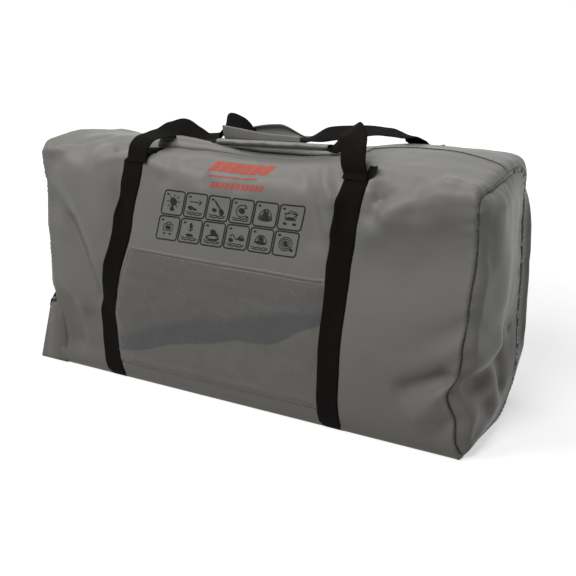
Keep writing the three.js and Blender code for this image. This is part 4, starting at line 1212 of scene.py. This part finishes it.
def makeMouthWebbing():
    s = np.linspace(0, 1, 60)[:, None]
    w = np.linspace(0, 1, webbing["across"] + 1)[None, :]
    y = mix(-endPocket["front"], endPocket["rear"], s) + 0 * w
    x = pocketMouthX(y) - 1 + w * endPocket["webbingWidth"]
    rise = webbing["clearance"] + endPocket["webbingRise"] * smooth(w * 2.2)
    z = endPocket["height"] + rise - endPocket["webbingDrop"] * hill(s, 0.03) * (1 - w)
    lower = np.stack((x, y, z), axis=2)
    upper = lower + np.array((0, 0, webbing["thickness"]))
    placePiece(webbingMesh("mouth_webbing", (upper, lower)), "black_webbing", "end_pocket_webbing")


makeEndPocket()
makeMouthWebbing()
print("grips and end pocket made")

stitch = {
    # length, pitch and radius of the threads of each seam
    "endSeam": (5.6, 8.4, 0.52), "hem": (2.4, 4.6, 0.8), "closure": (6.4, 6.6, 0.6), "tack": (2.6, 3.4, 0.42),
    "endInset": 0.9, "endLift": 0.2, "hemPlace": 4.5, "hemLift": 1.1, "closureLift": 0.5, "tackLift": 0.15,
    "tackReach": 0.8, "sides": 6, "rings": 5,
}


def stitchRow(name, line, normals, material, slot, seam):
    # a row of short threads that dip into the cloth at both ends
    length, pitch, radius = stitch[seam]
    line, normals = np.asarray(line, float), np.asarray(normals, float)
    run = np.concatenate(([0], np.cumsum(np.linalg.norm(np.diff(line, axis=0), axis=1))))

    def at(place, values):
        return np.array([np.interp(place, run, values[:, k]) for k in range(3)])

    points, faces = [], []
    sides, rings = stitch["sides"], stitch["rings"]
    for start in np.arange(0.5 * (pitch - length), run[-1] - length, pitch):
        first = len(points)
        for share in np.arange(rings) / (rings - 1):
            place = start + length * share
            normal = at(place, normals)
            normal /= np.linalg.norm(normal)
            along = at(place + 1, line) - at(place - 1, line)
            along /= max(1e-6, np.linalg.norm(along))
            side = np.cross(along, normal)
            arch = math.sin(math.pi * share)
            thick = radius * (0.45 + 0.55 * arch)
            centre = at(place, line) + normal * (radius * (1.6 * arch - 0.9))
            for j in range(sides):
                angle = 2 * math.pi * j / sides
                points.append(centre + thick * (math.cos(angle) * side + math.sin(angle) * normal))
        faces += gridFaces(rings, sides, first, wrap=True)
        faces.append(tuple(first + j for j in range(sides))[::-1])
        faces.append(tuple(first + (rings - 1) * sides + j for j in range(sides)))
    placePiece(makeMesh(name, points, faces, material), slot)


def sewCloth(name, x, u, lift, seam):
    stitchRow(name, skin(x, u, lift), skinNormal(x, u), darkThread, "bag_fabric", seam)


def makeStitches():
    u = np.linspace(0.02, 3.98, 900)
    for sign, name in ((-1, "left_end_stitches"), (1, "right_end_stitches")):
        x = np.full_like(u, sign * (halfLength - stitch["endInset"]))
        sewCloth(name, x, u, stitch["endLift"], "endSeam")
    height = pocket["top"] + stitch["hemPlace"]
    x = betweenWebbings(height, np.linspace(0.01, 0.99, 300))
    sewCloth("hem_stitches", x, frontShare(x, height), stitch["hemLift"], "hem")
    x = np.linspace(closure["overlapStart"] + 4, halfLength - 3, 300)
    sewCloth("closure_thread", x, topShare(x, overlapY(x) - 0.5), stitch["closureLift"], "closure")


def tackBox(name, strip, low, high):
    # a sewn rectangle with a cross, on the upper face of a strip between two shares of it
    reach = stitch["tackReach"]
    corners = [(low, -reach), (low, reach), (high, reach), (high, -reach)]
    corners += [(low, -reach), (high, reach), (high, -reach), (low, reach)]
    line, normals = [], []
    for (a, w1), (b, w2) in zip(corners, corners[1:]):
        for t in np.linspace(0, 1, 14):
            point, normal = strip.at(mix(a, b, t), mix(w1, w2, t), stitch["tackLift"])
            line.append(point)
            normals.append(normal)
    stitchRow(name, line, normals, blackThread, "black_webbing", "tack")


makeStitches()
tackBox("front_left_tack", frontStrip, 0.03, 0.12)
tackBox("front_right_tack", frontStrip, 0.90, 0.985)
print("stitches made")

# The printed panels on the front: corners of their field as (x, height), lower left first
printed = {
    "field": ((-149, 263), (111, 269), (127, 350), (-123, 348)),
    "size": (266, 85), "columns": 6, "rows": 2, "gap": 3.4, "corner": 0.12,
    "frame": 2.3, "line": 1.5, "lift": 0.28,
    # the red bars: left, right, foot and head, slant, count, share left open between two
    "bars": (
        (-49, 57, 384, 404, 9, 6, 0.16), (-47, 40, 375, 377.5, 3, 1, 0), (-40, 55, 359, 368, 4, 11, 0.3),
    ),
}


def fieldPoint(s, t):
    lowLeft, lowRight, highRight, highLeft = (np.array(corner, float) for corner in printed["field"])
    return mix(mix(lowLeft, lowRight, s), mix(highLeft, highRight, s), t)


class PrintSheet:
    # flat printed shapes, laid on the front of the cloth
    def __init__(self):
        self.points = []
        self.faces = []

    def band(self, left, right):
        # a strip between two lines of (x, height) points
        first = len(self.points)
        for a, b in zip(left, right):
            self.points += [a, b]
        for i in range(len(left) - 1):
            k = first + 2 * i
            self.faces.append((k, k + 1, k + 3, k + 2))

    def stroke(self, line, width, closed=False):
        line = np.asarray(line, float)
        if closed:
            ahead, behind = np.roll(line, -1, axis=0), np.roll(line, 1, axis=0)
        else:
            ahead = np.concatenate((line[1:], line[-1:]))
            behind = np.concatenate((line[:1], line[:-1]))
        direction = ahead - behind
        direction /= np.linalg.norm(direction, axis=1)[:, None]
        side = np.stack((-direction[:, 1], direction[:, 0]), axis=1) * width / 2
        left, right = line + side, line - side
        if closed:
            left, right = np.concatenate((left, left[:1])), np.concatenate((right, right[:1]))
        self.band(left, right)

    def disc(self, centre, across, up):
        steps = 20
        angle = 2 * math.pi * np.arange(steps) / steps
        ring = np.stack((centre[0] + across * np.cos(angle), centre[1] + up * np.sin(angle)), axis=1)
        half = steps // 2
        self.band(ring[:half + 1], np.concatenate((ring[:1], ring[:half - 1:-1])))

    def make(self, name, material, slot):
        spots = np.array(self.points)
        u = frontShare(spots[:, 0], spots[:, 1])
        placePiece(makeMesh(name, skin(spots[:, 0], u, printed["lift"]), self.faces, material, spots), slot)


def roundedFrame(corner, steps=5):
    # loop of shares round a rounded square
    loop = []
    far = 1 - corner
    corners = ((far, corner, -90), (far, far, 0), (corner, far, 90), (corner, corner, 180))
    for centreS, centreT, start in corners:
        for i in range(steps + 1):
            angle = math.radians(start + 90 * i / steps)
            loop.append((centreS + corner * math.cos(angle), centreT + corner * math.sin(angle)))
    dense = []
    for a, b in zip(loop, loop[1:] + loop[:1]):
        count = max(1, int(math.dist(a, b) / 0.09))
        dense += [(mix(a[0], b[0], k / count), mix(a[1], b[1], k / count)) for k in range(count)]
    return dense


def waveLine(left, right, level, swing, turns):
    s = np.linspace(left, right, 22)
    return np.stack((s, level + swing * np.sin((s - left) / (right - left) * 2 * math.pi * turns)), axis=1)


def arcLine(centre, across, up, start, end):
    angle = np.radians(np.linspace(start, end, 18))
    return np.stack((centre[0] + across * np.cos(angle), centre[1] + up * np.sin(angle)), axis=1)


# Plain picture signs, drawn in shares of a square: water, a raft, a case, a line, a lamp and arrows
def signShapes(index):
    water = [waveLine(0.12, 0.88, 0.2, 0.02, 3), waveLine(0.16, 0.84, 0.12, 0.016, 2.5)]
    mark = [[(0.12, 0.86), (0.24, 0.86)], [(0.12, 0.82), (0.24, 0.82)]]
    raft = [arcLine((0.5, 0.34), 0.3, 0.1, 0, 360), arcLine((0.5, 0.37), 0.26, 0.09, 0, 360)]
    canopy = [arcLine((0.5, 0.38), 0.26, 0.34, 0, 180), arcLine((0.5, 0.38), 0.12, 0.34, 0, 180)]
    case = [[(0.28, 0.4), (0.72, 0.4), (0.72, 0.66), (0.28, 0.66), (0.28, 0.4)]]
    case.append(arcLine((0.5, 0.66), 0.12, 0.1, 0, 180))
    down = [[(0.5, 0.86), (0.5, 0.5)], [(0.4, 0.6), (0.5, 0.48), (0.6, 0.6)]]
    right = [[(0.2, 0.64), (0.74, 0.64)], [(0.62, 0.76), (0.78, 0.64), (0.62, 0.52)]]
    rope = [waveLine(0.2, 0.8, 0.5, 0.1, 1.5)]
    coil = [arcLine((0.5, 0.5), r, r, 0, 350) for r in (0.12, 0.2, 0.28)]
    turns = np.arange(8) * math.pi / 4
    rays = [[(0.5 + r * math.cos(a), 0.56 + r * math.sin(a)) for r in (0.2, 0.32)] for a in turns]
    paddle = [[(0.26, 0.8), (0.62, 0.42)], [(0.3, 0.82), (0.66, 0.44)]]
    turn = [arcLine((0.5, 0.52), 0.25, 0.25, 40, 320), [(0.62, 0.8), (0.72, 0.66), (0.56, 0.62)]]
    signs = (
        (case + mark, ((0.5, 0.53, 0.13, 0.08), (0.36, 0.26, 0.06, 0.04), (0.64, 0.26, 0.06, 0.04))),
        (water + down + mark, ((0.5, 0.32, 0.16, 0.06), (0.5, 0.72, 0.07, 0.1))),
        (water + raft + mark, ((0.5, 0.56, 0.13, 0.13), (0.66, 0.48, 0.08, 0.06))),
        (water + rope + mark, ((0.26, 0.36, 0.1, 0.08), (0.7, 0.44, 0.15, 0.07))),
        (water + canopy + mark, ((0.5, 0.4, 0.22, 0.07), (0.5, 0.56, 0.07, 0.1))),
        (coil + mark, ((0.5, 0.5, 0.08, 0.08), (0.78, 0.26, 0.07, 0.05))),
        (rays + mark, ((0.5, 0.56, 0.15, 0.15), (0.5, 0.24, 0.1, 0.08), (0.5, 0.34, 0.05, 0.1))),
        (right + water + mark, ((0.3, 0.38, 0.13, 0.08), (0.52, 0.34, 0.07, 0.05))),
        (water + paddle + mark, ((0.68, 0.36, 0.1, 0.12), (0.34, 0.42, 0.1, 0.07))),
        (water + turn + mark, ((0.5, 0.52, 0.13, 0.11), (0.78, 0.3, 0.06, 0.05))),
        (canopy + raft + mark, ((0.5, 0.5, 0.1, 0.14), (0.5, 0.34, 0.2, 0.05))),
        (case + right + mark, ((0.5, 0.46, 0.16, 0.06), (0.3, 0.24, 0.08, 0.05), (0.7, 0.24, 0.08, 0.05))),
    )
    return signs[index]


def slantedRow(sheet, row):
    # a row of plain slanted blocks between two heights, a little uphill to the right
    left, right, low, high, slant, count, gap = row
    pitch = (right - left) / count
    for k in range(count):
        s = np.linspace(k, k + 1 - gap, max(4, 24 // count))
        for part in np.linspace(0, 1, 5)[:-1]:
            edges = []
            for share in (part, part + 0.25):
                places = left + pitch * s + slant * share
                edges.append(np.stack((places, mix(low, high, share) + 3 * s / count), axis=1))
            sheet.band(*edges)


def drawSign(sheet, column, row):
    wide, high = printed["size"][0] / printed["columns"], printed["size"][1] / printed["rows"]
    inS, inT = printed["gap"] / 2 / wide, printed["gap"] / 2 / high

    def spot(s, t):
        across = (column + mix(inS, 1 - inS, s)) / printed["columns"]
        return fieldPoint(across, (row + mix(inT, 1 - inT, t)) / printed["rows"])

    def placed(line):
        return [spot(s, t) for s, t in line]

    sheet.stroke(placed(roundedFrame(printed["corner"])), printed["frame"], closed=True)
    lines, blobs = signShapes(row * printed["columns"] + column)
    for line in lines:
        sheet.stroke(placed(line), printed["line"])
    for s, t, across, up in blobs:
        sheet.disc(spot(s, t), across * wide, up * high)


def makePrint():
    signs, bars = PrintSheet(), PrintSheet()
    for row in range(printed["rows"]):
        for column in range(printed["columns"]):
            drawSign(signs, column, row)
    for bar in printed["bars"]:
        slantedRow(bars, bar)
    signs.make("printed_signs", blackInk, "black_webbing")
    bars.make("printed_bars", redInk, "bag_fabric")


makePrint()
print("print made")

studio = {
    "lamps": (
        ("front", (0.2, -1.6, 1.8), (0.8, 0.8), 18.5),
        ("left", (-0.9, -1.1, 1.7), (0.6, 0.6), 10),
        ("right", (1.6, -0.9, 1.6), (0.8, 0.8), 2),
        ("overhead", (0, 0.1, 1.8), (1.6, 1.0), 8.5),
    ),
    "target": (0, 0, 0.22), "floor": 0.35, "floorGrain": 40.0, "floorSize": 9000,
    "pale": 0.9, "floorGlow": 0.55, "glowReach": (0.6, 1.5), "worldLevel": 0.05,
    "camera": (0.8094, -1.3421, 0.7163), "tilt": 70.614, "turn": 30.394, "roll": -0.727, "lens": 62.5,
}
white = colour((1, 1, 1))


def areaLight(name, place, size, power):
    data = bpy.data.lights.new(name, "AREA")
    data.shape, data.size, data.size_y, data.energy = "RECTANGLE", size[0], size[1], power
    lamp = bpy.data.objects.new(name, data)
    bpy.context.scene.collection.objects.link(lamp)
    lamp.location = place
    lamp.rotation_euler = (Vector(studio["target"]) - Vector(place)).to_track_quat("-Z", "Y").to_euler()


def seenDirectly(shade):
    names = ("Is Camera Ray", "Is Glossy Ray", "Is Transmission Ray")
    camera, glossy, through = (shade.add("ShaderNodeLightPath", output=name) for name in names)
    return camera.maths("MAXIMUM", glossy).maths("MAXIMUM", through)


def makeWorld():
    world = bpy.data.worlds.new("studio")
    bpy.context.scene.world = world
    shade = Shading(world)
    lit, seen = (
        shade.add("ShaderNodeBackground", None, {"Color": white, "Strength": level})
        for level in (studio["worldLevel"], 1.0)
    )
    both = shade.add("ShaderNodeMixShader", None, {0: seenDirectly(shade), 1: lit, 2: seen})
    shade.add("ShaderNodeOutputWorld", None, {"Surface": both})


def makeFloor():
    # grey in the light that it throws back; seen directly it is pale and glows to white away from the object
    shade = newMaterial("studio floor")
    grain = shade.noise(shade.place(), studio["floorGrain"], 2.0, 0.5)
    grey = (studio["floor"],) * 3
    tone = shade.tint(grain, colour(grey), colour(grey, 1.04))
    matt = shade.add("ShaderNodeBsdfDiffuse", None, {"Color": tone})
    pale = shade.add("ShaderNodeBsdfDiffuse", None, {"Color": colour((1, 1, 1), studio["pale"])})
    away = shade.add("ShaderNodeVectorMath", {"operation": "LENGTH"}, {0: shade.place()}, 1)
    strength = studio["floorGlow"] + (1 - studio["floorGlow"]) * shade.ramp(away, *studio["glowReach"])
    glow = shade.add("ShaderNodeEmission", None, {"Color": white, "Strength": strength})
    bright = shade.add("ShaderNodeAddShader", None, {0: pale, 1: glow})
    both = shade.add("ShaderNodeMixShader", None, {0: seenDirectly(shade), 1: matt, 2: bright})
    material = shade.finish(both)
    size = studio["floorSize"]
    corners = [(-size, -size, 0), (size, -size, 0), (size, size, 0), (-size, size, 0)]
    makeMesh("floor", corners, [(0, 1, 2, 3)], material, flat=True)


def makeCamera():
    camera = bpy.data.objects.new("camera", bpy.data.cameras.new("camera"))
    bpy.context.scene.collection.objects.link(camera)
    camera.location = studio["camera"]
    turns = ((studio["turn"], "Z"), (studio["tilt"], "X"), (studio["roll"], "Z"))
    first, second, third = (Matrix.Rotation(math.radians(angle), 3, axis) for angle, axis in turns)
    camera.rotation_euler = (first @ second @ third).to_euler()
    camera.data.lens, camera.data.sensor_width = studio["lens"], 36
    bpy.context.scene.camera = camera


makeWorld()
makeFloor()
for lamp in studio["lamps"]:
    areaLight(*lamp)
makeCamera()
bpy.context.scene.view_settings.view_transform = "Standard"
print("studio made")
